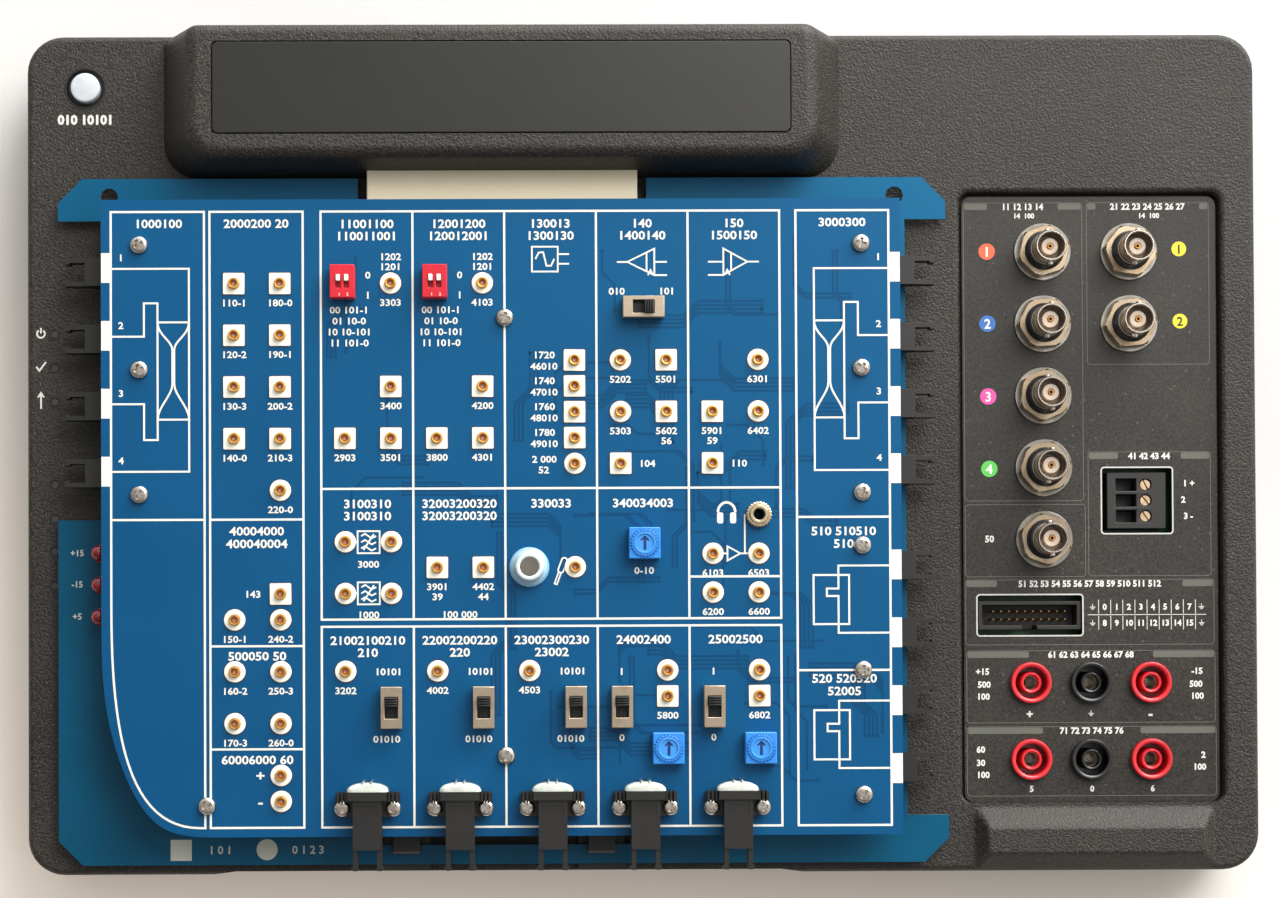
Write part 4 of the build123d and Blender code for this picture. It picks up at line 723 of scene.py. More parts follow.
line_grey = ink("panel_line_ink", card(98, 96, 91), card(80, 78, 74))
bar_ink = ink("panel_bar_ink", card(96, 97, 88), card(84, 85, 78))
figure_ink = ink("panel_figure_ink", card(228, 226, 220), card(196, 194, 188))

panel_face = 29.6
traces = (102.2, -15.5, 139.9, 79.3)
waves = (141.4, 27.8, 180.3, 79.3)
start = (102.2, -39.6, 140.4, -16.7)
curve = (141.4, -39.4, 180.3, -0.1)
pins = (102.2, -61.2, 181.1, -40.6)
supplies = (102.4, -85.9, 181.3, -63.1)
meter = (102.4, -109.1, 181.5, -87.2)
group_boxes = (traces, waves, start, curve, pins, supplies, meter)
title_widths = (22.5, 33.0, 0.0, 20.0, 59.0, 39.5, 31.0)
bar_height, bar_gap = 2.0, 0.2
frames = [box_run(*box, 1.0) for box in group_boxes]
panel_print = drawn("panel_lines", frames, 0.22, panel_face, line_grey)
add_piece("panel_lines", panel_print, line_grey, "console", slot="white")
bars = []
for (left, low, right, high), title_width in zip(group_boxes, title_widths):
    if title_width:
        side = (right - left - title_width) / 2
        bar_top = high - bar_gap
        for start_x, end_x in ((left + 0.3, left + side), (right - side, right - 0.3)):
            bars.append(box_run(start_x, bar_top - bar_height, end_x, bar_top, 0.5, 2))
add_piece("panel_bars", filled("panel_bars", bars, panel_face), bar_ink, "console", slot="white")

window_white = ink("window_edge_ink", card(206, 205, 200), card(170, 168, 162))
window_runs = []
for middle_x, middle_y, half_wide, half_deep in ((122.6, -51.8, 16.85, 6.55), (156.9, -15.5, 11.35, 10.55)):
    low, high = middle_y - half_deep, middle_y + half_deep
    window_runs.append(box_run(middle_x - half_wide, low, middle_x + half_wide, high, 1.0))
edges = drawn("window_edges", window_runs, 0.45, panel_face, window_white)
add_piece("window_edges", edges, window_white, "console", slot="white")

# Numbers stand on the panel where its words stood: titles between the bars, channel badges beside the jacks,
# pin numbers beside the box header, and the signs under the sockets.
panel_figures = []
for number, ((left, low, right, high), title_width) in enumerate(zip(group_boxes, title_widths), 1):
    tally = " ".join(f"{number}{step}" for step in range(1, 1 + int(title_width / 4.7)))
    if tally:
        panel_figures.append((tally, (left + right) / 2, high - 1.2, 2.0))
    if number < 3:
        panel_figures.append(("14  100", (left + right) / 2 + 0.4, high - 4.1, 1.6))
pin_first, pin_step = 142.5, 3.85
pin_rows = (-49.2, -54.3)
pin_middle = sum(pin_rows) / 2
ground_runs = []


def ground_sign(x, y, size):
    """The runs of an earth sign: a stem over three shortening bars."""
    runs = [[(x, y + size), (x, y)]]
    for step, half in enumerate((0.9, 0.6, 0.3)):
        runs.append([(x - half * size, y - 0.35 * size * step), (x + half * size, y - 0.35 * size * step)])
    return runs


for row, height in enumerate(pin_rows):
    for step in range(8):
        panel_figures.append((str(8 * row + step), pin_first + pin_step * (step + 1), height, 1.9))
    for end in (0, 9):
        ground_runs += ground_sign(pin_first + pin_step * end, height - 0.1, 1.0)
    rule = [(pin_first + pin_step * (step + 0.5), height) for step in range(9)]
    ground_runs += [[(x, y - 2.2), (x, y + 2.2)] for x, y in rule]
ground_runs.append([(pin_first - 1.5, pin_middle), (pin_first + 9 * pin_step + 1.5, pin_middle)])
panel_figures += [("50", 109.9, -27.5, 2.1), ("+", 122.3, -83.1, 2.6), ("-", 160.7, -83.0, 3.0)]
panel_figures += [("5", 122.8, -106.8, 1.9), ("0", 142.0, -106.8, 1.9), ("6", 161.2, -106.8, 1.9)]
for text, x, y in (
    ("+15", 107.4, -69.6), ("500", 107.9, -73.7), ("100", 107.6, -77.5),
    ("-15", 175.6, -69.6), ("500", 175.2, -73.7), ("100", 175.6, -77.5),
    ("60", 106.7, -94.3), ("30", 106.7, -98.5), ("100", 107.4, -102.3),
    ("2", 177.4, -96.2), ("100", 176.2, -100.0),
    ("1 +", 173.4, -10.0), ("2", 171.6, -15.2), ("3 -", 173.2, -20.4),
):
    panel_figures.append((text, x, y, 2.0))
ground_runs += ground_sign(141.8, -83.0, 1.0)
panel_text = figures("panel_figures", panel_figures, panel_face, weight=0.05)
add_piece("panel_figures", panel_text, figure_ink, "console", slot="white")
signs = drawn("panel_signs", ground_runs, 0.2, panel_face, figure_ink)
add_piece("panel_signs", signs, figure_ink, "console", slot="white")

badges = (
    (109.6, 63.8, 2.6, card(240, 98, 60), "orange"),
    (109.7, 40.9, 2.6, card(52, 112, 190), "blue"),
    (109.8, 17.7, 2.6, card(236, 84, 168), "pink"),
    (110.0, -5.3, 2.6, card(96, 204, 88), "green"),
    (170.8, 64.5, 2.35, card(232, 216, 40), "yellow"),
    (171.0, 41.5, 2.35, card(232, 216, 40), "yellow_low"),
)
white_ink = ink("badge_white_ink", card(240, 238, 232), card(222, 220, 214))
badge_figures = {"white": [], "black": []}
for number, (x, y, radius, colour, name) in enumerate(badges):
    worn = tuple(0.85 * part for part in colour[:3]) + (1.0,)
    badge_ink = ink(name + "_badge_ink", colour, worn, 0.5)
    disc = filled(name, [disc_run(x, y, radius)], panel_face)
    add_piece(name + "_badge", disc, badge_ink, "console", slot="white")
    if number < 4:
        badge_figures["white"].append((str(number + 1), x, y, 3.1))
    else:
        badge_figures["black"].append((str(number - 3), x, y, 2.9))
raised = panel_face + 0.04
pale_figures = figures("badge_figures", badge_figures["white"], raised)
add_piece("badge_figures", pale_figures, white_ink, "console", slot="white")
black_ink = ink("badge_black_ink", card(30, 28, 20), card(44, 42, 34))
dark_figures = figures("dark_badge_figures", badge_figures["black"], raised)
add_piece("dark_badge_figures", dark_figures, black_ink, "console", slot="shell_black")

# BNC jacks: nickel-plated brass barrels in black insulating bodies, screwed through the panel and held by a
# washer and a hexagon nut. Two bayonet lugs stand on each barrel's sides.


def nickel(name, pale, warm, roughness, speck):
    """Bright plate over brass: cool and clear, warmer and duller in cloudy patches."""
    plate = Finish(name, {"Metallic": 1.0, "Roughness": roughness})
    cloud = plate.ramp(plate.grain(speck, 4.0), 0.35, 0.7)
    rub = plate.grain(speck / 12, 2.0, 5.0, (1.0, 1.0, 6.0))
    plate.vary("Base Color", plate.blend(cloud, pale, warm))
    plate.vary("Roughness", roughness - 0.05 + 0.16 * cloud + 0.06 * rub)
    plate.relief(rub, 0.000002)
    return plate.material


def turned(profile, sides=32, loop=False):
    """A lathe's work: a profile of (radius, height) in millimetres, from pole to pole or as a closed loop."""
    form = bmesh.new()
    rings = []
    for radius, height in profile:
        run = disc_run(0, 0, radius, sides)[:-1] if radius else [(0, 0)]
        rings.append([form.verts.new((x * mm, y * mm, height * mm)) for x, y in run])
    for lower, upper in zip(rings, rings[1:] + rings[:1] * loop):
        for step in range(sides):
            after = (step + 1) % sides
            face = [lower[step % len(lower)], lower[after % len(lower)]]
            face += [upper[after % len(upper)], upper[step % len(upper)]]
            kept = [vert for place, vert in enumerate(face) if vert not in face[:place]]
            if len(kept) > 2:
                form.faces.new(kept)
    return plain_mesh("turned", form)


def hexagon(across_flats, height, hole, chamfer, sides=48):
    """A nut: a hexagon whose corners are turned off at both faces, with a plain hole."""
    corner = across_flats / 2 / math.cos(math.pi / 6)
    rings = []
    for level, taken in ((0.0, chamfer), (chamfer, 0.0), (height - chamfer, 0.0), (height, chamfer)):
        run = []
        for step in range(sides):
            angle = 2 * math.pi * step / sides
            flat = angle % (math.pi / 3) - math.pi / 6
            radius = min(across_flats / 2 / math.cos(flat), corner - 1.5 * taken)
            run.append((radius * math.cos(angle), radius * math.sin(angle)))
        rings.append((level, run))
    rings += [(level, disc_run(0, 0, hole, sides)) for level in (height, 0.0)]
    return stacked("hexagon", rings, True)


def shifted(mesh, x=0.0, y=0.0, z=0.0, turn=None):
    """Moves a pattern within its own frame, in millimetres, after turning it."""
    if turn:
        mesh.transform(Matrix.Rotation(turn[0], 4, turn[1]))
    mesh.transform(Matrix.Translation(Vector((x, y, z)) * mm))
    return mesh


def joined(name, *meshes):
    """Several patterns as one mesh."""
    form = bmesh.new()
    for mesh in meshes:
        form.from_mesh(mesh)
    return plain_mesh(name, form, False)


# Repeating a part: one tree puts a copy on each of a set of points, turned by the point's own angle and by a
# random share of the loose turn.
copy_inputs = (("Part", "Object"), ("Loose turn", "Float"), ("Seed", "Int"), ("Finish", "Material"))
setting_out, inlet = shape_tree("set_out_copies", copy_inputs)
part_sockets = {"Object": inlet["Part"], "As Instance": True}
part = grow(setting_out, "GeometryNodeObjectInfo", part_sockets, output="Geometry")
own_turn = grow(setting_out, "GeometryNodeInputNamedAttribute", {"Name": "turn"}, {"data_type": "FLOAT"})
loose = grow(setting_out, "ShaderNodeMath", {0: inlet["Loose turn"], 1: -1.0}, {"operation": "MULTIPLY"})
spread_sockets = {2: loose, 3: inlet["Loose turn"], "Seed": inlet["Seed"]}
spread = grow(setting_out, "FunctionNodeRandomValue", spread_sockets, {"data_type": "FLOAT"}, 1)
whole_turn = grow(setting_out, "ShaderNodeMath", {0: own_turn, 1: spread})
heading = grow(setting_out, "ShaderNodeCombineXYZ", {"Z": whole_turn})
copy_sockets = {"Points": inlet["Geometry"], "Instance": part, "Rotation": heading}
copies = grow(setting_out, "GeometryNodeInstanceOnPoints", copy_sockets)
end_tree(setting_out, copies, inlet["Finish"])


def set_out(name, pattern, places, material, turns=None, loose_turn=0.0, seed=1):
    """Repeats a pattern mesh at each place, whose first two numbers are millimetres, as one plain mesh."""
    points = bpy.data.meshes.new(name + "_points")
    points.from_pydata([Vector((place[0], place[1], 0)) * mm for place in places], [], [])
    turning = points.attributes.new("turn", "FLOAT", "POINT")
    turning.data.foreach_set("value", turns or [0.0] * len(places))
    model = held(name + "_pattern", pattern)
    values = {"Part": model, "Loose turn": loose_turn, "Seed": seed, "Finish": material}
    made = run_tree(name, points, setting_out, values)
    bpy.data.objects.remove(model)
    return made


def add_copies(name, pattern, places, material, body, *replaced, slot=None, smooth=40, **turning):
    """Puts a pattern's copies on the object as one piece."""
    copies = set_out(name, pattern, places, material, **turning)
    return add_piece(name, copies, material, body, *replaced, slot=slot, smooth=smooth)


jack_pitch = 22.86
jack_row = 63.6
jack_places = [(127.2, jack_row - jack_pitch * step) for step in range(5)]
jack_places += [(154.7, jack_row - jack_pitch * step) for step in range(2)]
jack_plate = nickel("nickel_plate", card(214, 208, 200), card(188, 174, 158), 0.22, 0.006)
washer_plate = nickel("dull_nickel", card(150, 147, 140), card(130, 126, 118), 0.36, 0.004)
jack_black = satin("jack_insulation", card(20, 19, 18), card(30, 29, 28), 0.0004, 0.42, 0.00002)
dielectric = satin("jack_dielectric", card(196, 176, 156), card(212, 196, 178), 0.0006, 0.4)
contact_gold = nickel("contact_gold", card(214, 160, 84), card(176, 116, 60), 0.3, 0.002)

washer_height = 0.8
nut_height = 3.0
nut_foot = panel_face + washer_height
washer_outline = [(6.3, 0), (9.0, 0), (9.1, 0.15), (9.1, 0.6), (8.9, 0.8), (7.5, 0.8), (7.2, 0.7), (6.3, 0.7)]
nut_turns = [0.3, 0.05, 0.42, 0.2, 0.7, 0.9, 0.12]
nut_pattern = shifted(hexagon(14.6, nut_height, 6.25, 0.4), z=nut_foot)
nut_plate = nickel("nut_plate", card(200, 182, 156), card(150, 126, 98), 0.2, 0.005)
add_copies(
    "jack_nuts", nut_pattern, jack_places, nut_plate, "console", "bnc_nuts",
    slot="bright_metal", smooth=25, turns=nut_turns,
)
washer = shifted(turned(washer_outline, 48, True), z=panel_face)
add_copies("jack_washers", washer, jack_places, washer_plate, "console", slot="bright_metal", smooth=30)

thread_pitch = 0.7
body_foot = 19.6
body_outline = [(0, body_foot), (6.0, body_foot)]
for thread in range(6):
    foot = nut_foot - 0.6 + thread_pitch * thread
    body_outline += [(5.85, foot), (6.2, foot + 0.25), (6.2, foot + 0.4), (5.85, foot + 0.65)]
body_outline += [(5.8, 34.7), (5.35, 35.3), (5.0, 35.5), (0, 35.5)]
add_copies(
    "jack_bodies", turned(body_outline, 40), jack_places, jack_black, "console", "bnc_bodies",
    slot="moulded_black", smooth=30,
)

barrel_outline = [(4.0, 28.0), (4.85, 28.0), (4.85, 36.4), (4.6, 36.5), (4.6, 37.1), (4.85, 37.2)]
barrel_outline += [(4.85, 44.0), (4.6, 44.4), (4.35, 44.4), (4.1, 44.1), (4.1, 32.2), (0, 32.2), (0, 28.0)]
lug_height = 40.2
lug_reach = 5.6
lug_outline = [(0, 4.2), (0.98, 4.2), (1.0, lug_reach - 0.2), (0.85, lug_reach), (0, lug_reach)]
lugs = []
for bearing in (math.pi / 2, -math.pi / 2):
    lugs.append(shifted(turned(lug_outline, 20), z=lug_height, turn=(bearing, "X")))
barrel = joined("barrel", turned(barrel_outline, 48), *lugs)
add_copies(
    "jack_barrels", barrel, jack_places, jack_plate, "console", "bnc_barrels",
    slot="bright_metal", smooth=30, loose_turn=0.2, seed=4,
)

insulator_outline = [(4.08, 33.0), (4.08, 36.4), (3.9, 36.6), (2.6, 36.6), (2.6, 41.6), (2.4, 41.8)]
insulator_outline += [(1.3, 41.8), (1.2, 41.5), (0.9, 41.4), (0.9, 33.0)]
insulator = turned(insulator_outline, 36, True)
add_copies(
    "jack_insulators", insulator, jack_places, dielectric, "console", "bnc_insulators",
    slot="dielectric_white",
)
socket_outline = [(0, 33.0), (0.8, 33.0), (0.8, 41.9), (0.7, 42.1), (0.5, 42.1), (0.45, 41.8)]
socket_outline += [(0.45, 38.0), (0, 38.0)]
contact = turned(socket_outline, 20)
add_copies("jack_contacts", contact, jack_places, contact_gold, "console", "bnc_contacts", slot="gold")

# Safety banana sockets: a glossy nylon flange and shroud, moulded in red or black, with a deep groove for the
# plug's sleeve round a spring contact tube.


def nylon(name, dark, light, roughness):
    """Glossy dyed nylon, a little deeper in tone where it was thick in the mould."""
    return satin(name, dark, light, 0.0009, roughness, 0.000006, {"Coat Weight": 0.5, "Coat Roughness": 0.12})


socket_pitch = 19.05
socket_first = 122.55
socket_rows = (-73.2, -97.5)
red_nylon = nylon("red_nylon", card(196, 24, 34), card(222, 40, 50), 0.24)
black_nylon = nylon("black_nylon", card(15, 15, 15), card(24, 24, 24), 0.24)
sleeve_outline = [(2.7, 9.0), (5.7, 9.0), (5.7, 29.6), (6.35, 29.6), (6.5, 29.9), (6.5, 31.5), (6.3, 31.9)]
sleeve_outline += [(5.95, 32.0), (5.4, 31.9), (5.05, 31.5), (5.0, 31.0), (5.0, 20.0), (3.4, 20.0)]
sleeve_outline += [(3.4, 30.6), (3.25, 31.1), (2.95, 31.3), (2.5, 31.2), (2.3, 30.9)]
sleeve_outline += [(2.25, 29.0), (2.7, 28.6)]
tube_outline = [(2.0, 11.6), (2.0, 28.2), (2.2, 28.4), (2.6, 28.4), (2.6, 9.6), (0, 9.6), (0, 11.6)]
sleeve = turned(sleeve_outline, 48, True)
red_places = [(socket_first + 2 * socket_pitch * side, row) for row in socket_rows for side in (0, 1)]
black_places = [(socket_first + socket_pitch, row) for row in socket_rows]
add_copies(
    "red_sockets", sleeve, red_places, red_nylon, "console", "banana_sockets_red", slot="banana_red"
)
add_copies(
    "black_sockets", sleeve.copy(), black_places, black_nylon, "console", "banana_sockets_black",
    slot="moulded_black",
)
add_copies(
    "socket_tubes", turned(tube_outline, 28), red_places + black_places, jack_plate, "console",
    "banana_contacts", slot="bright_metal",
)

# Box header for the logic lines: a black moulded tray with two rows of ten gold-plated pins, keyed by a
# notch. It is soldered to the circuit board and stands in the panel's window.
moulded_black = satin("moulded_black", card(24, 23, 22), card(36, 35, 33), 0.0006, 0.5, 0.00001)
edge_copy("pin_tray", "logic_header", 0.2 * mm, moulded_black, "console", "moulded_black")
pin_gold = nickel("pin_gold", card(230, 184, 104), card(186, 138, 74), 0.28, 0.002)
pin_pitch, pin_columns = 2.54, 10
pin_low, pin_high = 21.6, 28.0
pin_outline = [(0, pin_low), (0.45, pin_low), (0.45, pin_high - 0.5), (0.22, pin_high), (0, pin_high)]
tray_x, tray_y = 122.6, -51.8
pin_places = [
    (tray_x + pin_pitch * (column - (pin_columns - 1) / 2), tray_y + pin_pitch * (row - 0.5))
    for column in range(pin_columns)
    for row in range(2)
]
add_copies(
    "tray_pins", turned(pin_outline, 4), pin_places, pin_gold, "console", "logic_header_pins",
    slot="gold", smooth=20, turns=[math.pi / 4] * len(pin_places),
)

# Terminal block: a three-way black moulding whose wires go in at the left. Each wire is clamped by a slotted
# brass screw, which turns in its own well.
edge_copy("terminal_block_body", "terminal_block", 0.25 * mm, moulded_black, "console", "moulded_black")
screw_brass = nickel("screw_brass", card(214, 190, 160), card(176, 148, 118), 0.34, 0.002)


def arc_outline(radius, half_slot, side, steps=20):
    """Half a disc left beside a slot across its middle: side is 1 on the right and -1 on the left."""
    reach = math.asin(half_slot / radius)
    run = []
    for step in range(steps + 1):
        angle = -math.pi / 2 + reach + (math.pi - 2 * reach) * step / steps
        run.append((side * radius * math.cos(angle), radius * math.sin(angle)))
    return run


def slotted_head(radius, slot, top, slot_depth, foot, rim=0.15):
    """A round head with a straight slot: the stem and slot floor turned, with two half discs on it."""
    floor = top - slot_depth
    stem = turned([(0, foot), (radius, foot), (radius, floor), (0, floor)], 40)
    halves = [
        filled("half", [arc_outline(radius - rim / 2, slot / 2, side)], floor - 0.01, slot_depth + 0.01)
        for side in (-1, 1)
    ]
    return joined("slotted_head", stem, *halves)


head_radius, head_top, head_foot = 1.75, 28.4, 25.6
for number, (row, bearing) in enumerate(((-10.5, 0.5), (-15.5, 0.7), (-20.5, 0.6)), 1):
    head = slotted_head(head_radius, 0.45, head_top, 0.7, head_foot)
    shifted(head, 159.8, row, turn=(bearing, "Z"))
    name = f"terminal_screw_{number}"
    piece = f"clamp_screw_{number}"
    clamp = add_piece(piece, head, screw_brass, name, name, slot="bright_metal", smooth=30)
    round_off(clamp, 0.12 * mm, 2, 40)

# Power button: a pearl-white acrylic cap that sinks in a well, its lining painted darker than the shell as
# shade in the recess. It is pressed on the stem of a switch, and a small steel spring coiled round the stem
# lifts it again.
pearl = Finish("pearl_acrylic", {"Roughness": 0.45, "Coat Weight": 0.1, "Coat Roughness": 0.3})
button_x, button_y = button_place
rim_glow = pearl.ramp(pearl.grain(0.004, 2.0), 0.3, 0.7)
pearl.vary("Base Color", pearl.blend(rim_glow, card(188, 194, 200), card(204, 208, 212)))
cap_outline = [(0, 22.0), (2.0, 22.0), (2.0, 28.0), (5.7, 28.0), (5.8, 28.1), (5.8, 29.3), (5.7, 29.4)]
cap_outline += [(4.6, 29.4), (4.6, 32.9), (4.5, 33.15), (4.25, 33.3), (3.9, 33.36), (0, 33.4)]
cap = shifted(turned(cap_outline, 56), button_x, button_y)
add_piece("power_cap", cap, pearl.material, "power_button", "power_button", slot="cream", smooth=50)
well_outline = [(4.75, 29.6), (4.75, 30.3), (5.7, 30.4), (6.05, 31.8), (6.35, 32.05), (6.75, 32.01)]
well_outline.append((6.75, 29.6))
well = shifted(turned(well_outline, 64, True), button_x, button_y)
# Painted shade: the well's lining and the status lights' collars are darker than the shell, for the shade in
# their recesses.
well_black = satin("well_black", card(9, 8, 8), card(16, 15, 14), 0.0006, 0.5)
add_piece("button_well", well, well_black, "console", slot="moulded_black", smooth=45)
switch_skin = satin("switch_body", card(22, 22, 24), card(34, 34, 36), 0.0006, 0.45)
edge_copy("button_switch", "power_switch", 0.2 * mm, switch_skin, "console", "moulded_black")
spring_steel = nickel("spring_steel", card(190, 190, 188), card(150, 150, 148), 0.3, 0.003)
spring_low, spring_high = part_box("power_button_spring")
spring_foot, spring_head = spring_low[2] / mm, spring_high[2] / mm
wire, coils, travel = 0.22, 5, 2.0
spring_radius = (spring_high[0] - spring_low[0]) / 2 / mm - wire
wire_run, wire_ends = bpy.data.curves.new("spring_wire", "CURVE"), 24 * coils
wire_run.dimensions = "3D"
wire_run.bevel_depth = wire * mm
wire_run.bevel_resolution = 1
wire_run.use_fill_caps = True
helix = wire_run.splines.new("POLY")
helix.points.add(wire_ends)
for step, point in enumerate(helix.points):
    angle = 2 * math.pi * coils * step / wire_ends
    height = spring_foot + wire + (spring_head - spring_foot - 2 * wire) * step / wire_ends
    x, y = button_x + spring_radius * math.cos(angle), button_y + spring_radius * math.sin(angle)
    point.co = (x * mm, y * mm, height * mm, 1.0)
coil = add_piece(
    "coil_spring", meshed(wire_run), spring_steel, "console", "power_button_spring", slot="bright_metal"
)
seat = (button_x * mm, button_y * mm, spring_foot * mm)
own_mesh(coil)

# Status lights: seven small windows along the left edge, each a grey light pipe in a collar painted darker
# than the shell as shade round the hole, flush with the shell. The three upper ones have a sign printed
# beside them.
light_places = [(light_x, row) for row in light_rows]
pipe_grey = satin("light_pipe_grey", card(50, 47, 42), card(64, 60, 55), 0.0005, 0.4)
pipe_outline = [(0, 20.2), (1.1, 20.2), (1.1, 31.9), (0, 31.9)]
add_copies(
    "light_pipes", turned(pipe_outline, 24), light_places, pipe_grey, "console", "status_light_pipes",
    slot="light_pipe", smooth=50,
)
# Painted shade: a dark ring round each light pipe, where the hole's shade falls.
shade_ring_outline = [(1.1, 31.3), (1.1, 31.6), (1.45, 31.7), (1.55, 32.03), (1.85, 32.02), (1.85, 31.3)]
collar = turned(shade_ring_outline, 28, True)
add_copies("light_collars", collar, light_places, well_black, "console", slot="moulded_black", smooth=50)
sign_x = -190.1
power_arc = []
for step in range(15):
    angle = math.radians(125 + 290 * step / 14)
    power_arc.append((sign_x + 1.25 * math.cos(angle), 38.3 + 1.25 * math.sin(angle)))
sign_runs = [power_arc, [(sign_x, 40.2), (sign_x, 38.4)]]
sign_runs.append([(sign_x - 1.5, 27.9), (sign_x - 0.5, 26.6), (sign_x + 1.6, 29.4)])
sign_runs += [[(sign_x, 14.6), (sign_x, 19.4)], [(sign_x - 0.9, 18.2), (sign_x, 19.6), (sign_x + 0.9, 18.2)]]
status_signs = drawn("status_signs", sign_runs, 0.55, shell_top, figure_ink, 0.03)
add_piece("status_signs", status_signs, figure_ink, "console", slot="white")
number_place = ("010 10101", button_x, 106.1, 3.0)
place_number = figures("button_number", [number_place], shell_top, 0.03, weight=0.06)
add_piece("button_number", place_number, figure_ink, "console", slot="white")

# Board socket: a cream moulded edge connector in the mouth of the header, with two rows of gold-plated
# spring contacts. It is soldered to the console's circuit board.
cream = satin("socket_cream", card(242, 229, 196), card(250, 239, 210), 0.0012, 0.45, 0.00001)
edge_copy("cream_socket", "board_socket", 0.35 * mm, cream, "console", "cream", 3)
coat("board_socket_contacts", pin_gold)

# Rear sockets, soldered to the circuit board behind openings in the back wall: the power inlet, a black
# moulding with a steel pin, and the data socket in its folded steel shell.
inlet_side = 105.0 * mm
sockets_mesh = card_mesh("rear_sockets", "back_sockets")
back = add_piece(
    "back_sockets", sockets_mesh, moulded_black, "console", "rear_sockets", slot="moulded_black", smooth=30
)
sockets_mesh.materials.append(jack_plate)
for face in sockets_mesh.polygons:
    if face.center.x < inlet_side:
        face.material_index = 1
round_off(back, 0.12 * mm, 2, 30)

# Latches: two hooks moulded in black acetal that hold the board's front edge. Each slides in a slot of the
# top shell and has a thumb tab.
acetal = satin("latch_acetal", card(22, 21, 20), card(34, 33, 31), 0.0007, 0.5)
for side in ("left", "right"):
    latch = "latch_" + side
    edge_copy(side + "_board_latch", latch, 0.3 * mm, acetal, latch, "moulded_black", 3)

# The trainer's two circuit boards: glass-filled laminate under blue solder mask. The lower one, greener and
# darker, plugs into the console; the upper one is the panel that the sockets and switches stand on.
cut_glass = card(112, 122, 96)


def solder_mask(name, dark, light, far, depth):
    """Gloss solder mask on a board whose sawn edges show the laminate; its colour is painted lighter toward
    the back right, as painted light from the window.
    """
    gloss = {"Roughness": 0.3, "Specular IOR Level": 0.14, "Coat Weight": 0.06, "Coat Roughness": 0.2}
    mask = Finish(name, gloss)
    across, along = mask.axes()
    weave = mask.grain(0.0009, 2.0)
    clouds = mask.ramp(mask.grain(0.045, 3.0, 1.0), 0.3, 0.7)
    tone = mask.blend(clouds * 0.7 + weave * 0.3, dark, light)
    # Painted light: the mask turns to the lighter far tone toward the back right, where the window's light
    # falls.
    painted_light = mask.ramp(along + 0.5 * across, -0.14, 0.12)
    tone = mask.blend(painted_light, tone, far)
    facing = mask.node("ShaderNodeNewGeometry", {}, {}, "Normal")
    upright = abs(mask.node("ShaderNodeSeparateXYZ", {}, {"Vector": facing}, "Z")) < 0.5
    mask.vary("Base Color", mask.blend(upright * 0.8, tone, cut_glass))
    mask.vary("Roughness", 0.26 + 0.12 * weave)
    mask.relief(weave * 0.4 + clouds * 0.6, depth)
    return mask.material


panel_blue = solder_mask("panel_mask", card(4, 70, 112), card(8, 78, 122), card(10, 84, 128), 0.00001)
main_teal = solder_mask("main_mask", card(3, 66, 92), card(6, 84, 116), card(6, 94, 134), 0.00001)
coat("panel_board", panel_blue)
coat("main_board", main_teal)
coat("interboard_header", moulded_black)

# Copper tracks show faintly through the mask of the panel board: groups of lines that run along the board,
# turn by 45 degrees and end in small rings.
panel_top = 49.6
grid_x, grid_y, column_pitch, row_pitch = -93.1, 51.5, 14.2, 8.0
track_tone = solder_mask("track_mask", card(3, 57, 95), card(6, 65, 105), card(8, 71, 111), 0.000005)
draw = random.Random(211)
track_runs, ring_places = [], []
left, low, right, high = -99.0, -112.0, 76.0, 71.0
for group in range(64):
    x = draw.uniform(-20, 72) if group % 3 else draw.uniform(-97, 60)
    y = draw.uniform(-104, 66)
    lines = draw.choice((1, 1, 2, 3, 4))
    heading = draw.choice((0, 2, 4, 6))
    swing = draw.choice((-1, 1))
    legs = [(heading, draw.uniform(5, 22)), (heading + swing, draw.uniform(2, 7))]
    legs.append((heading + draw.choice((0, 2 * swing)), draw.uniform(4, 18)))
    for line in range(lines):
        side = math.radians(45 * heading + 90)
        point = Vector((x + 1.25 * line * math.cos(side), y + 1.25 * line * math.sin(side)))
        run = [tuple(point)]
        for bearing, length in legs:
            angle = math.radians(45 * bearing)
            point = point + Vector((math.cos(angle), math.sin(angle))) * length
            run.append(tuple(point))
        if all(left < px < right and low < py < high for px, py in run):
            track_runs.append(run)
            ring_places += [run[0], run[-1]]
tracks = drawn("copper_tracks", track_runs, 0.72, panel_top, track_tone, 0.012)
rings = filled("track_rings", [disc_run(x, y, 0.62, 10) for x, y in ring_places], panel_top, 0.012)
copper = joined("copper_tracks", tracks, rings)
add_piece("copper_tracks", copper, track_tone, "trainer_board", slot="board_blue")

# Silk-screen print on the panel board: a box round each experiment, the signs inside, and a white pad under
# each socket, square for digital and round for analogue. Numbers stand where the words stood.
silk = ink("board_silk", card(236, 233, 220), card(214, 212, 200), 0.5)
cell = 2 * column_pitch
cells_left = grid_x - column_pitch / 2 - 0.25
cells_right = cells_left + 5 * cell
print_top, print_low = 73.8, -116.6
main_low, main_split, lower_top = -52.5, -12.1, -54.7
io_left, io_right = -134.8, -106.0
port_left, port_right = -165.3, -136.5
coupler_left, coupler_right = 46.6, 75.4
board_runs = [box_run(cells_left, main_low, cells_right, print_top)]
board_runs.append(box_run(cells_left, print_low, cells_right, lower_top))
for step in range(1, 5):
    x = cells_left + step * cell
    board_runs += [[(x, main_low), (x, print_top)], [(x, print_low), (x, lower_top)]]
board_runs.append([(cells_left, main_split), (cells_right, main_split)])
board_runs.append([(cells_right, -39.6), (cells_right - cell, -39.6), (cells_right - cell, main_low)])
io_rules, coupler_rules = (-21.5, -60.6, -92.4), (-21.3, -68.7)
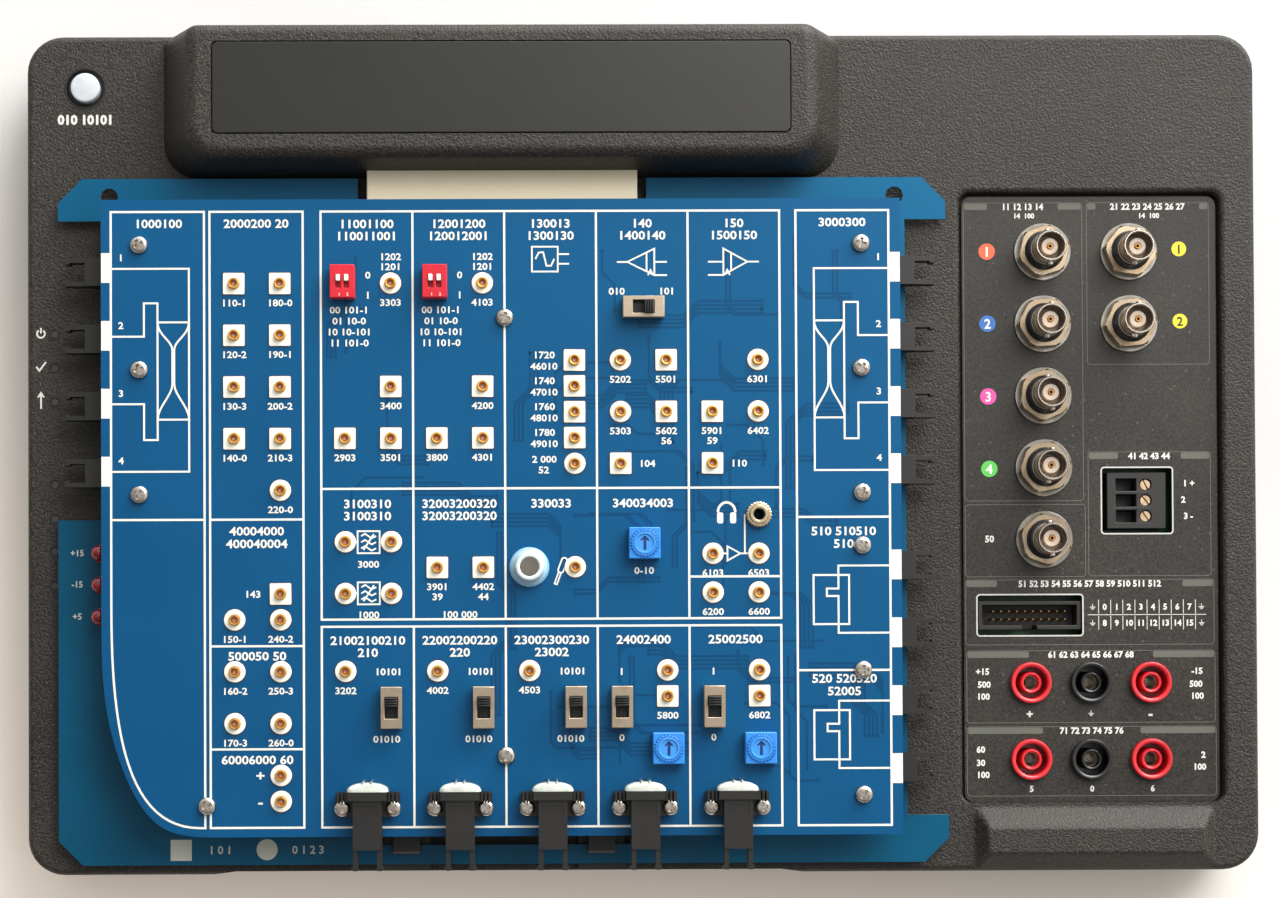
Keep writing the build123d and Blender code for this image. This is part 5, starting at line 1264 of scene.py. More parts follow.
for left, right, rules in ((io_left, io_right, io_rules), (coupler_left, coupler_right, coupler_rules)):
    board_runs.append(box_run(left, print_low, right, print_top))
    board_runs += [[(left, height), (right, height)] for height in rules]


def bend(start, first, second, end, steps=24):
    """Points along a smooth bend that leaves start toward first and reaches end from second."""
    run = []
    for step in range(steps + 1):
        share = step / steps
        rest = 1 - share
        weights = (rest**3, 3 * rest**2 * share, 3 * rest * share**2, share**3)
        pulls = list(zip(weights, (start, first, second, end)))
        run.append(tuple(sum(weight * place[axis] for weight, place in pulls) for axis in (0, 1)))
    return run


sweep = bend((port_left, -50.0), (port_left, -88.0), (-160.0, print_low), (-138.0, print_low))
port_corner = (port_right, print_low)
board_runs.append([port_corner, (port_right, print_top), (port_left, print_top), *sweep, port_corner])
board_runs.append([(port_left, -21.5), (port_right, -21.5)])


def coupler_sign(outside, waist, far, box_near, box_far, rows):
    """The sign of a two-way light coupler: four leads from the ports to a box in which they meet."""
    top, upper, lower, bottom = rows
    low, high = 9.5, 39.6
    middle = (box_near + box_far) / 2
    runs = [box_run(min(box_near, box_far), low, max(box_near, box_far), high)]
    runs.append([(outside, top), (far, top), (far, high)])
    for row, turn_off, end in ((upper, upper + 10.3, high), (lower, lower - 11.1, low)):
        runs.append([(outside, row), (waist, row), (waist, turn_off), (box_near, turn_off), (box_near, end)])
    runs.append([(outside, bottom), (far, bottom), (far, low)])
    for side in (box_near, box_far):
        near = middle + (0.28 if side > middle else -0.28)
        upper_arm = bend((side, high), (side, high - 4), (near, 34.0), (near, 31.0), 8)
        lower_arm = bend((near, 20.5), (near, 17.0), (side, low + 4), (side, low), 8)
        runs.append(upper_arm + lower_arm)
    return runs


sign_runs = coupler_sign(port_left, -155.1, -141.2, -150.9, -141.2, (56.2, 35.2, 14.3, -6.6))
sign_runs += coupler_sign(coupler_right, 65.8, 52.2, 61.5, 52.2, (55.8, 35.0, 14.1, -6.8))
for top in (-36.4, -78.2):
    sign_runs.append(box_run(51.6, top - 18.1, 62.6, top - 2.9))
    lead = [(coupler_right, top), (59.3, top), (59.3, top - 7.1), (55.7, top - 7.1), (55.7, top - 9.4)]
    sign_runs.append(lead + [(59.3, top - 9.4), (59.3, top - 20.8), (coupler_right, top - 20.8)])


def add_lines(name, runs, width):
    """White lines on the panel board as one piece."""
    add_piece(name, drawn(name, runs, width, panel_top, silk), silk, "trainer_board", slot="white")


add_lines("board_boxes", board_runs, 0.66)
add_lines("board_signs", sign_runs, 0.58)

# Small signs, screen-printed with the boxes: the generator, the two coders, the filters, the amplifier, the
# earphones and the microphone.
small_runs = [box_run(-35.1, 55.0, -27.1, 62.7)]
small_runs.append([(-34.0, 58.9), (-33.0, 60.9), (-31.6, 61.0), (-30.6, 56.8), (-29.2, 56.8), (-28.2, 58.9)])
small_runs += [[(-27.1, 60.4), (-23.6, 60.4)], [(-27.1, 57.4), (-23.6, 57.4)]]
for tail, body, head, back in ((6.7, 2.8, -5.6, -8.8), (19.4, 24.2, 31.6, 35.2)):
    small_runs.append([(body, 62.0), (head, 57.9), (body, 53.8), (body, 62.0)])
    small_runs += [[(head, 57.9), (back, 57.9)], [(tail, 57.9), (body, 57.9)], [(tail, 53.8), (body, 53.8)]]
    inner = body + (2.4 if head > body else -2.4)
    mark = (body + inner) / 2
    small_runs += [[(inner, 60.6), (inner, 55.2)], [(mark - 0.8, 53.8), (mark, 55.4), (mark + 0.8, 53.8)]]
for low in (-32.0, -47.8):
    small_runs.append(box_run(-89.3, low, -82.5, low + 6.8))
    for wave in (low + 1.5, low + 3.4, low + 5.3):
        small_runs.append([(-88.2, wave), (-87.0, wave + 0.7), (-85.0, wave - 0.7), (-83.6, wave)])
    small_runs += [[(-93.1, low + 3.4), (-89.3, low + 3.4)], [(-82.5, low + 3.4), (-78.9, low + 3.4)]]
    small_runs.append([(-87.5, low + 1.0), (-84.3, low + 5.9)])
small_runs.append([(20.5, -32.5), (25.0, -32.5)])
small_runs.append([(25.0, -30.3), (29.0, -32.5), (25.0, -34.7), (25.0, -30.3)])
small_runs += [[(29.0, -32.5), (34.7, -32.5)], [(30.4, -32.5), (30.4, -20.4)]]
add_lines("small_signs", small_runs, 0.5)
phones_x, phones_y = 24.8, -19.6
band = []
for step in range(13):
    angle = math.pi * step / 12
    band.append((phones_x + 2.7 * math.cos(angle), phones_y - 0.2 + 3.1 * math.sin(angle)))
phones = drawn("phones", [band], 0.75, panel_top, silk)
cup_middles = (phones_x - 2.0, phones_x + 2.0)
cups = [box_run(x - 0.95, phones_y - 3.6, x + 0.95, phones_y - 0.2, 0.6) for x in cup_middles]
talk_runs = [box_run(-27.6, -38.2, -25.9, -33.4, 0.8), box_run(-27.2, -42.0, -26.4, -38.2)]
talk = drawn("talk", talk_runs, 0.45, panel_top, silk)
shifted(talk, 26.8, 38.0)
shifted(talk, -26.8, -38.0, turn=(-0.35, "Z"))
picture_marks = joined("sound_signs", phones, filled("cups", cups, panel_top), talk)
add_piece("sound_signs", picture_marks, silk, "trainer_board", slot="white")

# White bars, printed up to the board's edge, show where the bore of each side housing meets it.
left_ports = (56.5, 35.5, 14.5, -6.5)
right_ports = (56.2, 35.4, 14.5, -6.3, -36.1, -57.1, -78.1, -99.1)
edge_bars = [box_run(-168.3, y - 4.6, -165.5, y + 4.6) for y in left_ports]
edge_bars += [box_run(75.6, y - 4.6, 78.9, y + 4.6) for y in right_ports]
add_piece("edge_bars", filled("edge_bars", edge_bars, panel_top), silk, "trainer_board", slot="white")

# Spacers and screws: hexagon brass spacers hold the panel board off the lower one, each with a pan-head
# cross screw on top.
spacer_places = [(-156.5, 63.5 - 38.6 * step) for step in range(3)]
spacer_places += [(66.8, y) for y in (63.5, 24.9, -13.7, -30.1, -68.6, -107.1)]
spacer_places += [(-43.6, 40.7), (-43.6, -94.7), (-135.9, -109.8)]
spacer_low, spacer_high = 36.0, 48.0
spacer_plate = nickel("spacer_plate", card(200, 198, 194), card(170, 166, 158), 0.32, 0.003)
spacer_pattern = shifted(hexagon(5.5, spacer_high - spacer_low, 1.2, 0.3), z=spacer_low)
add_copies(
    "hexagon_spacers", spacer_pattern, spacer_places, spacer_plate, "trainer_board", "board_spacers",
    slot="steel", smooth=25, loose_turn=0.5, seed=8,
)


def cross_cutter(reach, width, low, high):
    """The point of a cross driver: a plus-shaped bar that narrows by a quarter toward its foot."""
    corner, tip = width / 2, reach / 2
    plus = [(tip, -corner), (tip, corner), (corner, corner), (corner, tip), (-corner, tip), (-corner, corner)]
    plus += [(-x, -y) for x, y in plus]
    return stacked("cross_cutter", [(low, [(0.75 * x, 0.75 * y) for x, y in plus]), (high, plus)])


def pan_head(radius, height, seat):
    """A pan-head screw with a cross recess, seated at a height in millimetres."""
    outline = [(0, seat), (radius - 0.1, seat), (radius, seat + 0.15), (radius, seat + 0.45 * height)]
    for share in (0.35, 0.7, 0.9, 1.0):
        angle = share * math.pi / 2
        reach, rise = 0.52 + 0.48 * math.cos(angle), 0.45 + 0.5 * math.sin(angle)
        outline.append((radius * reach, seat + height * rise))
    outline += [(0.25 * radius, seat + height), (0, seat + height)]
    cutter = cross_cutter(1.3 * radius, 0.4 * radius, seat + 0.05 * height, seat + 1.2 * height)
    return shaped(turned(outline, 28), ("DIFFERENCE", cutter))


screw_plate = nickel("screw_plate", card(214, 208, 200), card(176, 162, 146), 0.18, 0.002)
add_copies(
    "board_screws", pan_head(2.75, 1.9, panel_top), spacer_places, screw_plate, "trainer_board",
    slot="steel", smooth=35, loose_turn=0.8, seed=21,
)

# Patch sockets: gold-plated brass tubes pressed through the panel board, each in a white moulded collar that
# is square on a digital socket and round on an analogue one. Deep in each bore the floor is a darker
# orange-brown than the tube.
io_columns = (-127.3, -113.1)
io_rows = ((0, 2, 4, 6, 13, 15, 17), (0, 2, 4, 6, 8, 12, 13, 15, 17, 19, 20))
grid_rows = (
    (6, 10, 12, 15),
    (0, 4, 6, 10, 12),
    (6, 11, 15),
    (0, 4, 6, 11),
    (15,),
    (3, 4, 5, 6, 7, 11),
    (3, 5, 7),
    (3, 5, 15, 16),
    (5, 7, 10.5, 12),
    (3, 5, 10.5, 12, 15, 16),
)
digital_rows = {
    "left": (0, 2, 4, 6),
    "right": (0, 2, 4, 6, 12),
    0: (6,),
    1: (4, 6),
    2: (6, 11),
    3: (4, 6, 11),
    5: (3, 4, 5, 6),
    6: (7,),
    7: (3, 5, 16),
    8: (5, 7),
    9: (16,),
}


def grid_place(column, row):
    """The place of a part on the panel board, in millimetres."""
    return grid_x + column_pitch * column, grid_y - row_pitch * row


sockets = []
for side, x, rows in (("left", io_columns[0], io_rows[0]), ("right", io_columns[1], io_rows[1])):
    sockets += [(x, grid_y - row_pitch * row, side, row) for row in rows]
for column, rows in enumerate(grid_rows):
    sockets += [(*grid_place(column, row), column, row) for row in rows]
digital = [socket for socket in sockets if socket[3] in digital_rows.get(socket[2], ())]
analogue = [socket for socket in sockets if socket not in digital]
collar_white = satin("collar_white", card(232, 229, 214), card(244, 241, 228), 0.0008, 0.4, 0.000006)
collar_rise, pad_half = 0.45, 3.3
square_run = box_run(-pad_half, -pad_half, pad_half, pad_half, 0.35, 2)
square_pattern = filled("square_collar", [square_run], panel_top, collar_rise)
add_copies(
    "square_collars", square_pattern, digital, collar_white, "trainer_board",
    slot="white", smooth=30, loose_turn=0.01, seed=2,
)
seat = panel_top + collar_rise
collar_profile = [(0, panel_top), (pad_half, panel_top), (pad_half, panel_top + 0.3)]
collar_profile += [(pad_half - 0.15, seat), (0, seat)]
collar = turned(collar_profile)
add_copies("round_collars", collar, analogue, collar_white, "trainer_board", slot="white", smooth=30)
# Painted shade: a darker blue ring on the mask round each collar, where the collar's shadow falls.
shade_ring = ink("collar_gap_mask", card(12, 52, 88), card(14, 58, 96), 0.4)
shade_ring_runs = [disc_run(x, y, 3.75) for x, y, *rest in analogue]
shade_ring_runs += [box_run(x - 3.7, y - 3.7, x + 3.7, y + 3.7, 0.5, 3) for x, y, *rest in digital]
shade_rings = filled("collar_gaps", shade_ring_runs, panel_top, 0.02)
add_piece("collar_gaps", shade_rings, shade_ring, "trainer_board", slot="board_blue")

tube_gold = nickel("tube_gold", card(240, 196, 112), card(206, 140, 66), 0.26, 0.0015)
# The floor of each bore is coloured a darker, redder orange-brown than the gold tube.
bore_brown = Finish("bore_lacquer", {"Roughness": 0.4})
bore_brown.vary("Base Color", bore_brown.blend(bore_brown.grain(0.0006, 2.0), card(206, 108, 34), card(150, 70, 24)))
tube_profile = [(0.95, 49.9), (0.95, 51.5), (1.1, 51.75), (1.4, 51.8), (1.5, 51.6), (1.5, seat + 0.3)]
tube_profile += [(1.85, seat + 0.25), (1.9, seat - 0.1), (1.5, seat - 0.2), (1.5, 49.9)]
tube = turned(tube_profile, 20, True)
add_copies("patch_tubes", tube, sockets, tube_gold, "trainer_board", "patch_sockets", slot="gold")
liner_profile = [(0.94, 51.3), (0.6, 50.9), (0.6, 49.95), (0, 49.95), (0, 49.85), (0.94, 49.85)]
add_copies("patch_liners", turned(liner_profile, 16), sockets, bore_brown.material, "trainer_board", slot="gold")

# Numbers under the sockets and over each box, where the words stood. They are screen-printed with the boxes,
# in one height for sockets and a larger one for titles.
label_height, title_size = 2.15, 2.7
labels = []
unlabelled = ((5, 11), (0, 10), (0, 12), (1, 10), (1, 12), (7, 15), (9, 15))
for number, (x, y, column, row) in enumerate(sockets, 1):
    beside = column in ("left", "right")
    if column == 5 and row < 7:
        labels += [(str(1000 + 20 * number), x - 9.4, y + 1.7), (f"{10 + number}010", x - 9.4, y - 1.8)]
    elif column == 5 and row == 7:
        labels += [("2 000", x - 9.4, y + 1.4), ("52", x - 9.6, y - 1.9)]
    elif (column, row) in ((6, 7), (8, 7)):
        labels.append((str(60 + number), x + 8.2, y))
    elif (column, row) in unlabelled:
        continue
    elif beside and row == 12:
        labels.append((str(number * 11), x - 8.6, y))
    elif beside and row > 18:
        pole = {19: "+", 20: "-"}[row]
        labels.append((pole, x - 6.4, y, label_height + 1.0))
    else:
        dash = "-" if beside else ""
        labels.append((f"{10 * number + 100}{dash}{number % 4}", x, y - (4.9 if row == 10 else 5.9)))
        if column in (7, 8, 2, 3) and row in (5, 11):
            labels.append((str(10 + number), x, y - 9.0))
labels += [("3000", -86.0, -35.4), ("1000", -86.0, -51.0), ("100 000", cells_left + 1.5 * cell, -51.0)]
titles = []
cell_middle = [cells_left + cell * (step + 0.5) for step in range(5)]
title_rows = (
    (70.0, "11001100 12001200 130013 140 150", "110011001 120012001 1300130 1400140 1500150"),
    (-58.9, "21002100210 22002200220 23002300230 24002400 25002500", "210 220 23002"),
    (-16.7, "3100310 32003200320 330033 340034003", "3100310 32003200320"),
)
for high, first_line, second_line in title_rows:
    titles += [(title, x, high) for x, title in zip(cell_middle, first_line.split())]
    titles += [(title, x, high - 3.75) for x, title in zip(cell_middle, second_line.split())]
io_middle, port_middle, coupler_middle = -120.4, -150.6, 61.0
side_titles = (
    (port_middle, 70.2, ("1000100",)),
    (io_middle, 70.2, ("2000200 20",)),
    (coupler_middle, 70.2, ("3000300",)),
    (io_middle, -25.0, ("40004000", "400040004")),
    (io_middle, -63.6, ("500050 50",)),
    (io_middle, -95.6, ("60006000 60",)),
    (coupler_middle, -25.6, ("510 510510", "510")),
    (coupler_middle, -71.2, ("520 520520", "52005")),
)
for x, high, lines in side_titles:
    titles += [(line, x, high - 3.9 * step) for step, line in enumerate(lines)]
for x, rows in ((-162.2, left_ports), (72.2, right_ports[:4])):
    for number, row in enumerate(rows, 1):
        labels.append((str(number), x, row + (3.2 if number in (1, 2, 3) else 3.4)))
for column in (0, 2):
    x, y = grid_place(column, 0)
    labels += [("0", x + 7.2, y + 2.6), ("1", x + 7.2, y - 3.6)]
    for step, code in enumerate(("00 101-1", "01 10-0", "10 10-101", "11 101-0")):
        labels.append((code, x + 1.4, y - 8.2 - 3.4 * step))
for column in (1, 3):
    x, y = grid_place(column, 0)
    labels += [("1202", x, y + 8.3), ("1201", x, y + 5.2)]
for column in (1, 3, 5):
    x = grid_x + column_pitch * column
    labels += [("10101", x - 1.0, -68.6), ("01010", x - 1.6, -89.4)]
for column in (6, 8):
    x = grid_x + column_pitch * column
    labels += [("1", x, -68.8), ("0", x, -89.2)]
labels += [("010", -8.9, 48.9), ("101", 6.6, 48.9), ("0-10", -0.8, -37.6)]
board_figures = [(*label, label_height)[:4] for label in labels] + [(*title, title_size) for title in titles]
board_text = figures("board_figures", board_figures, panel_top, wide=1.14)
add_piece("board_figures", board_text, silk, "trainer_board", slot="white")

# The lower board's own print, in a greyer white: a square and a disc that tell the two kinds of collar apart,
# and the supply signs beside the three lamps.
main_top = 36.0
main_silk = ink("main_board_silk", card(196, 196, 184), card(172, 174, 164), 0.55)
legend = [box_run(-149.0, -127.8, -142.4, -121.2), disc_run(-118.8, -124.4, 3.3)]
legend_figures = [("1 0 1", -133.4, -124.4, 2.6), ("0 1 2 3", -105.9, -124.4, 2.6)]
for text, height in (("+15", -31.1), ("-15", -40.9), ("+5", -51.0)):
    legend_figures.append((text, -178.1, height, 2.0))
legend_text = figures("legend_figures", legend_figures, main_top)
legend_mesh = joined("legend", filled("legend", legend, main_top), legend_text)
add_piece("lower_board_print", legend_mesh, main_silk, "trainer_board", slot="white")

# DIP switches: red nylon bodies soldered to the panel board, with two white nylon levers each and a number
# printed under each lever.
dip_red = satin("dip_red", card(186, 14, 34), card(208, 24, 46), 0.0008, 0.35)
edge_copy("dip_bodies", "dip_switch_bodies", 0.2 * mm, dip_red, "trainer_board", "dip_red")
lever_white = satin("lever_white", card(226, 224, 216), card(240, 238, 230), 0.0006, 0.4)
for number in range(1, 5):
    lever = f"dip_lever_{number}"
    edge_copy(f"dip_white_lever_{number}", lever, 0.15 * mm, lever_white, lever, "white", 3)
dip_marks = []
for x, y in (grid_place(0, 0), grid_place(2, 0)):
    dip_marks += [("1", x - 1.27, y - 4.1, 0.9), ("2", x + 1.27, y - 4.1, 0.9)]
dip_top = 55.4
dip_ink = figures("dip_numbers", dip_marks, dip_top, 0.02)
add_piece("dip_numbers", dip_ink, silk, "trainer_board", slot="white")

# Slide switches: a folded steel frame clasps a red moulded base, and a black ribbed knob slides in its window
# over a thin dark sheet of painted shade. Each is soldered to the panel board.
frame_steel = nickel("frame_steel", card(196, 180, 158), card(168, 150, 128), 0.34, 0.004)
edge_copy("switch_frames", "slide_switch_frames", 0.22 * mm, frame_steel, "trainer_board", "bright_metal", 3)
base_red = satin("base_red", card(150, 34, 36), card(176, 46, 46), 0.0006, 0.45)
edge_copy("switch_bases", "slide_switch_bases", 0.12 * mm, base_red, "trainer_board", "base_red")
# Painted shade: a thin dark sheet lies over the red base in each window, where the inside of the window is in
# shade.
switch_well = satin("switch_well", card(14, 13, 12), card(24, 22, 21), 0.0006, 0.5)
window_shade_runs = []
for column in (1, 3, 5, 6, 8):
    x = grid_x + column_pitch * column
    window_shade_runs.append(box_run(x - 2.3, -83.3, x + 2.3, -76.1))
window_shade_runs.append(box_run(-4.4, 41.2, 2.8, 45.8))
window_shades = filled("switch_wells", window_shade_runs, 52.6, 0.06)
add_piece("switch_wells", window_shades, switch_well, "trainer_board", slot="moulded_black")


def ribbed_knob(width, length, foot, top, ribs):
    """A thumb slide seen end on: a block whose top is cut into ribs that lie across its travel."""
    outline = [(-length / 2, foot), (length / 2, foot), (length / 2, top - 0.9)]
    pitch, valley = length / ribs, top - 0.55
    for rib in range(ribs):
        right = length / 2 - pitch * rib
        outline += [(right - 0.12 * pitch, top), (right - 0.62 * pitch, top)]
        outline += [(right - 0.72 * pitch, valley), (right - pitch, valley)]
    outline[-1] = (-length / 2, top - 0.9)
    knob = stacked("ribbed_knob", [(-width / 2, outline), (width / 2, outline)])
    knob.transform(Matrix(((0, 0, 1, 0), (1, 0, 0, 0), (0, 1, 0, 0), (0, 0, 0, 1))))
    return knob


knob_black = satin("knob_black", card(18, 18, 18), card(30, 30, 30), 0.0005, 0.4)
for number in range(1, 7):
    node = f"slide_knob_{number}"
    low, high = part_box(node)
    middle = (low + high) / 2 / mm
    knob = ribbed_knob(3.8, 3.0, low.z / mm, high.z / mm, 4)
    if number == 6:
        knob.transform(Matrix.Rotation(math.pi / 2, 4, "Z"))
    shifted(knob, middle.x, middle.y)
    slide = add_piece(f"ribbed_knob_{number}", knob, knob_black, node, node, slot="moulded_black", smooth=30)
    round_off(slide, 0.08 * mm, 2, 35)

# Trimmers: sky-blue housings with a ring of raised marks round a rotor, which a driver turns by the arrow cut
# across it.
sky_blue = satin("trimmer_blue", card(34, 122, 206), card(52, 142, 224), 0.0007, 0.38)
rotor_blue = satin("rotor_blue", card(44, 132, 214), card(60, 148, 228), 0.0006, 0.42)
edge_copy("trimmer_housings", "trimmer_bodies", 0.35 * mm, sky_blue, "trainer_board", "trimmer_blue", 3)
trimmer_places = [(-0.8, -29.3), (6.3, -92.5), (34.7, -92.5)]


def milled_ring(radius, depth, teeth, low, high, hole):
    """A ring nut whose rim is milled in fine teeth, with its edges broken."""
    sides = teeth * 4
    rings = []
    for height, taken in ((low, 0.25), (low + 0.25, 0.0), (high - 0.3, 0.0), (high, 0.4)):
        run = []
        for step in range(sides):
            angle = 2 * math.pi * step / sides
            reach = radius - taken - (depth if step % 4 < 2 else 0.0)
            run.append((reach * math.cos(angle), reach * math.sin(angle)))
        rings.append((height, run))
    rings += [(height, disc_run(0, 0, hole, sides)) for height in (high, low)]
    return stacked("milled_ring", rings, True)


housing_top = 54.4
ring_blue = satin("trimmer_ring_blue", card(22, 104, 188), card(40, 128, 212), 0.0006, 0.4)
ring_pattern = milled_ring(4.6, 0.4, 26, housing_top - 0.02, 54.8, 3.46)
add_copies(
    "trimmer_rings", ring_pattern, trimmer_places, ring_blue, "trainer_board", slot="trimmer_blue", smooth=30
)
slot_shade = satin("rotor_slot", card(8, 48, 104), card(16, 62, 124), 0.0006, 0.5)
arrow = [(-0.45, -2.2), (0.45, -2.2), (0.45, 1.0), (1.25, 0.5), (1.25, 1.05), (0, 2.3)]
arrow += [(-1.25, 1.05), (-1.25, 0.5), (-0.45, 1.0)]


def arrow_rotor(radius, foot, top):
    """A trimmer's rotor: a raised rim round a dished face with an arrow-shaped driver slot."""
    profile = [(0, foot), (radius, foot), (radius, top - 0.12), (radius - 0.12, top)]
    profile += [(2.85, top), (2.75, top - 0.1), (2.75, top - 1.0), (0, top - 1.0)]
    face = filled("face", [disc_run(0, 0, 2.76, 36)], top - 1.02, 0.62)
    cut = filled("arrow", [arrow], top - 0.9, 0.9)
    return joined("arrow_rotor", turned(profile, 44), shaped(face, ("DIFFERENCE", cut)))


for number, (x, y) in enumerate(trimmer_places, 1):
    node = f"trimmer_rotor_{number}"
    low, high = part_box(node)
    rotor = shifted(arrow_rotor(3.4, low.z / mm, high.z / mm), x, y)
    add_piece(f"arrow_rotor_{number}", rotor, rotor_blue, node, node, slot="trimmer_blue", smooth=30)
    floor = filled("slot_floor", [disc_run(x, y, 2.5, 24)], high.z / mm - 0.91)
    add_piece(f"rotor_slot_floor_{number}", floor, slot_shade, node, slot="trimmer_blue")

# Headphone jack: a tinned brass barrel with a milled ring nut that clamps it to the panel board. Its moulded
# body hangs under the board.
jack_x, jack_y = 34.7, -20.5
tinned = nickel("tinned_barrel", card(216, 198, 166), card(176, 156, 124), 0.3, 0.0015)
ring_nut = shifted(milled_ring(4.0, 0.22, 24, panel_top, 51.6, 3.0), jack_x, jack_y)
add_piece("jack_ring_nut", ring_nut, tinned, "trainer_board", slot="bright_metal", smooth=30)
barrel_outline = [(1.75, 39.4), (1.75, 52.1), (2.05, 52.4), (2.7, 52.4), (2.95, 52.15), (2.95, 47.6)]
barrel_outline += [(4.0, 47.6), (4.0, 39.4)]
barrel = shifted(turned(barrel_outline, 40, True), jack_x, jack_y)
add_piece("phones_barrel", barrel, tinned, "trainer_board", "headphone_jack", slot="bright_metal")
bore = turned([(0, 30.0), (1.74, 30.0), (1.74, 60.0), (0, 60.0)], 40)
housing = filled("jack_body", [box_run(-4.2, -4.2, 4.2, 4.2, 0.4, 2)], 38.4, 9.6)
housing = shifted(shaped(housing, ("DIFFERENCE", bore)), jack_x, jack_y)
add_piece("phones_body", housing, moulded_black, "trainer_board", slot="moulded_black", smooth=30)

# Microphone: a small felt-faced capsule held in a pale silicone grommet, which stands on the panel board and
# is bluer toward its rim.
mic_x, mic_y = -36.3, -36.5
silicone = Finish("grommet_silicone", {"Roughness": 0.3, "Coat Weight": 0.3, "Subsurface Weight": 0.25})
silicone.shader.inputs["Subsurface Radius"].default_value = (0.002, 0.003, 0.004)
across, along = silicone.axes()
reach_x, reach_y = across - mic_x * mm, along - mic_y * mm
reach = silicone.ramp((reach_x * reach_x + reach_y * reach_y) / (6.2 * mm) ** 2, 0.3, 0.85)
haze = silicone.grain(0.002, 3.0)
glow = reach * 0.9 + haze * 0.1
silicone.vary("Base Color", silicone.blend(glow, card(218, 228, 226), card(118, 172, 206)))
boot_profile = [(0, 49.6), (6.1, 49.6), (6.2, 49.8), (6.15, 50.5), (5.9, 50.9), (5.3, 51.1), (4.95, 51.4)]
boot_profile += [(4.75, 52.2), (4.45, 53.6), (4.25, 54.3), (3.95, 54.6), (3.3, 54.6), (3.0, 54.4)]
boot_profile += [(2.9, 54.0), (0, 54.0)]
boot = shifted(turned(boot_profile, 56), mic_x, mic_y)
add_piece("microphone_boot", boot, silicone.material, "trainer_board", "microphone", slot="cream", smooth=50)
capsule_face = satin("capsule_felt", card(78, 74, 68), card(118, 112, 102), 0.0003, 0.9, 0.0001)
capsule_profile = [(0, 53.9), (2.85, 53.9), (2.85, 54.2), (2.7, 54.35), (0, 54.4)]
capsule = shifted(turned(capsule_profile, 40), mic_x, mic_y)
add_piece("microphone_capsule", capsule, capsule_face, "trainer_board", slot="moulded_black", smooth=40)

# Fibre modules: black housings screwed to the panel board's front edge. Each holds a lens diode behind its
# bar and points its port, between two latch legs, at the front of the bench.
module_black = satin("module_black", card(18, 17, 15), card(31, 29, 26), 0.0006, 0.42)
edge_copy("side_housings", "edge_fibre_housings", 0.3 * mm, module_black, "trainer_board", "moulded_black", 3)
ear_top = 52.6
module_xs = [-86.2 + 28.4 * step for step in range(5)]
ear_reach, ear_row = 7.85, -110.6
ear_screws = [(x + side * ear_reach, ear_row) for x in module_xs for side in (-1, 1)]
add_copies(
    "module_screws", pan_head(2.45, 1.7, ear_top), ear_screws, screw_plate, "trainer_board",
    slot="steel", smooth=35, loose_turn=0.8, seed=5,
)
bar_back, stem_front, leg_tip, stem_top = -105.4, -123.1, -129.5, 57.4
module = filled("module", [box_run(-9.8, -113.2, 9.8, -105.6, 3.3, 6, 0.8)], 49.6, ear_top - 49.6)
added = [block(-6.0, -108.0, 6.0, bar_back, 49.7, 58.4)]
added.append(block(-4.4, stem_front, 4.4, -107.0, 50.6, stem_top))
for side in (-1, 1):
    outer, inner = sorted((side * 4.4, side * 2.95))
    added.append(block(outer, leg_tip, inner, -122.0, 51.4, 56.6))
    hook = [(4.4, 0.0), (4.9, 0.5), (4.9, 1.2), (4.4, 1.6), (4.0, 0.8)]
    added.append(filled("hook", [[(side * x, leg_tip + y) for x, y in hook]], 51.41, 5.18))
    for rib in (side * 6.6, side * 7.8, side * 9.0):
        added.append(block(rib - 0.32, -108.4, rib + 0.32, -105.7, 52.0, 55.6))
port = block(-3.0, -124.0, 3.0, -114.1, 51.6, 56.4)
pocket = block(-3.3, -112.4, 3.3, -109.6, stem_top - 0.25, stem_top + 1.0)
modules = add_copies(
    "module_housings", shaped(module, ("UNION", *added), ("DIFFERENCE", port, pocket)),
    [(x, 0) for x in module_xs], module_black, "trainer_board", "fibre_modules",
    slot="moulded_black", smooth=30,
)
round_off(modules, 0.2 * mm, 2, 30)

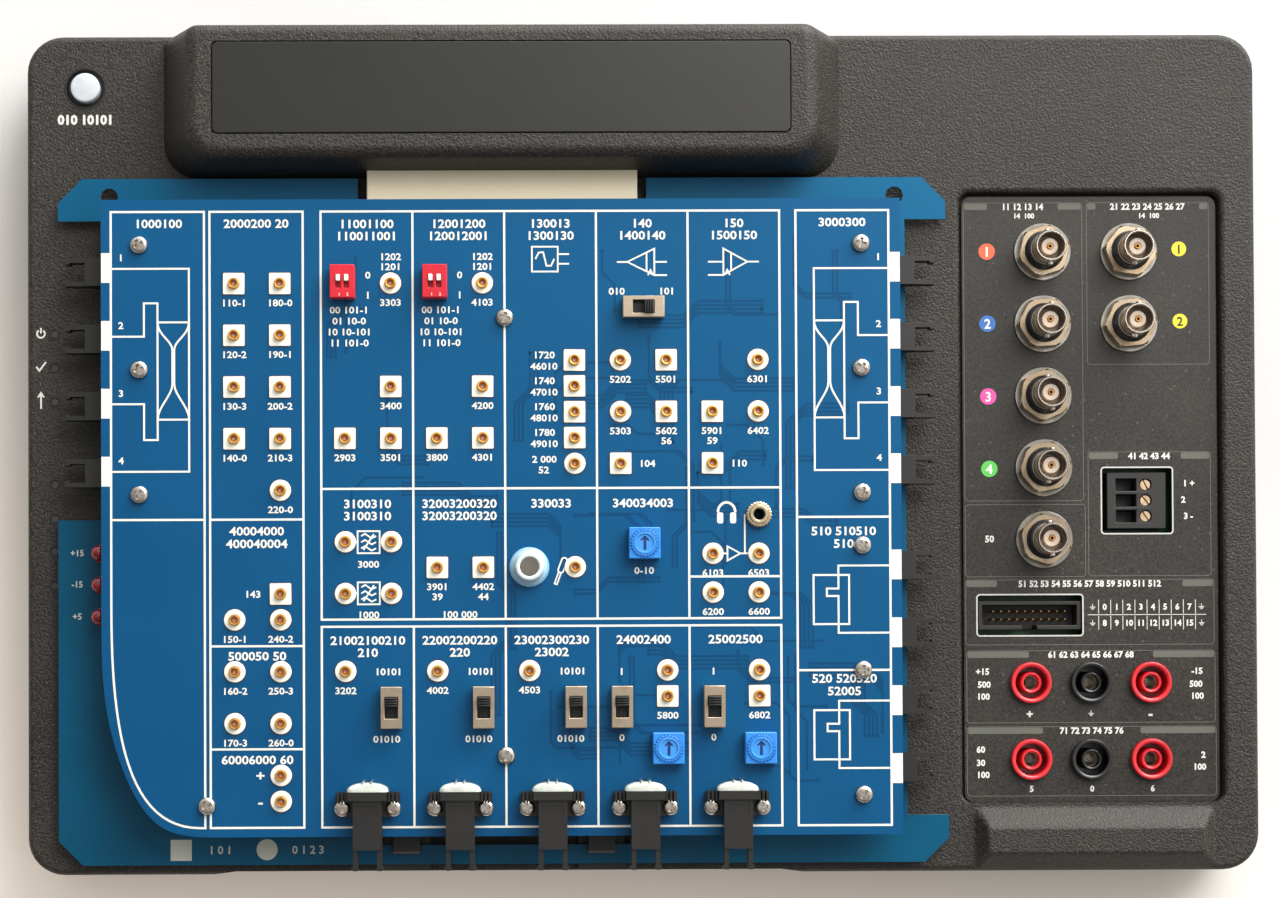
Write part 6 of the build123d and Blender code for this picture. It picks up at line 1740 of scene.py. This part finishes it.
# Lens diodes: clear epoxy moulded round a chip, one behind each module with its flat side toward it. The two
# tinned legs behind each are soldered to the panel board.
epoxy = Finish("clear_epoxy", {"Roughness": 0.12, "Transmission Weight": 0.25, "IOR": 1.5})
epoxy_cloud = epoxy.ramp(epoxy.grain(0.003, 3.0), 0.3, 0.7)
epoxy.vary("Base Color", epoxy.blend(epoxy_cloud, card(236, 240, 230), card(208, 216, 204)))
epoxy.relief(epoxy.grain(0.0012, 2.0), 0.00008)


def diode(half_wide, depth, low, high):
    """A diode's clear body: an upright half oval, drawn in toward its top and foot."""
    dome = []
    for step in range(19):
        angle = math.pi * step / 18
        dome.append((-half_wide * math.cos(angle), depth * math.sin(angle) ** 0.8))
    levels = [(0.93, low), (1.0, low + 0.4), (1.0, high - 1.6)]
    levels += [(0.95, high - 0.7), (0.84, high - 0.2), (0.7, high)]
    return stacked("diode", [(height, [(x * share, y * share) for x, y in dome]) for share, height in levels])


add_copies(
    "lens_diodes", diode(6.4, 2.8, 50.4, 56.6), [(x, bar_back) for x in module_xs], epoxy.material,
    "trainer_board", "fibre_diodes", slot="clear_resin", smooth=50,
)
leg_plate = nickel("leg_plate", card(236, 234, 226), card(206, 204, 196), 0.3, 0.002)
leg_profile = [(0, 49.7), (0.55, 49.7), (0.36, 50.4), (0.32, 56.8), (0.2, 57.2), (0, 57.3)]
leg_places = [(x + side, bar_back + 3.1) for x in module_xs for side in (-1.27, 1.27)]
add_copies("diode_legs", turned(leg_profile, 8), leg_places, leg_plate, "trainer_board", slot="steel")

# Supply lights: three lamps moulded in red epoxy, soldered to the lower board and tucked against the panel
# board's edge.
ruby = Finish("ruby_epoxy", {"Roughness": 0.15, "Transmission Weight": 0.3, "Coat Weight": 0.5})
ruby_cloud = ruby.ramp(ruby.grain(0.0014, 3.0), 0.35, 0.65)
ruby.vary("Base Color", ruby.blend(ruby_cloud, card(176, 18, 34), card(120, 12, 26)))
lamp_profile = [(0, 36.0), (2.9, 36.0), (2.9, 37.0), (2.5, 37.1), (2.5, 42.0)]
for step in range(1, 7):
    angle = math.pi / 2 * step / 7
    lamp_profile.append((2.5 * math.cos(angle), 42.0 + 2.4 * math.sin(angle)))
lamp_profile.append((0, 44.4))
led_places = [(-170.3, y) for y in (-31.4, -41.4, -51.4)]
add_copies(
    "supply_lights", turned(lamp_profile, 28), led_places, ruby.material, "trainer_board", "power_leds",
    slot="led_red", smooth=50,
)
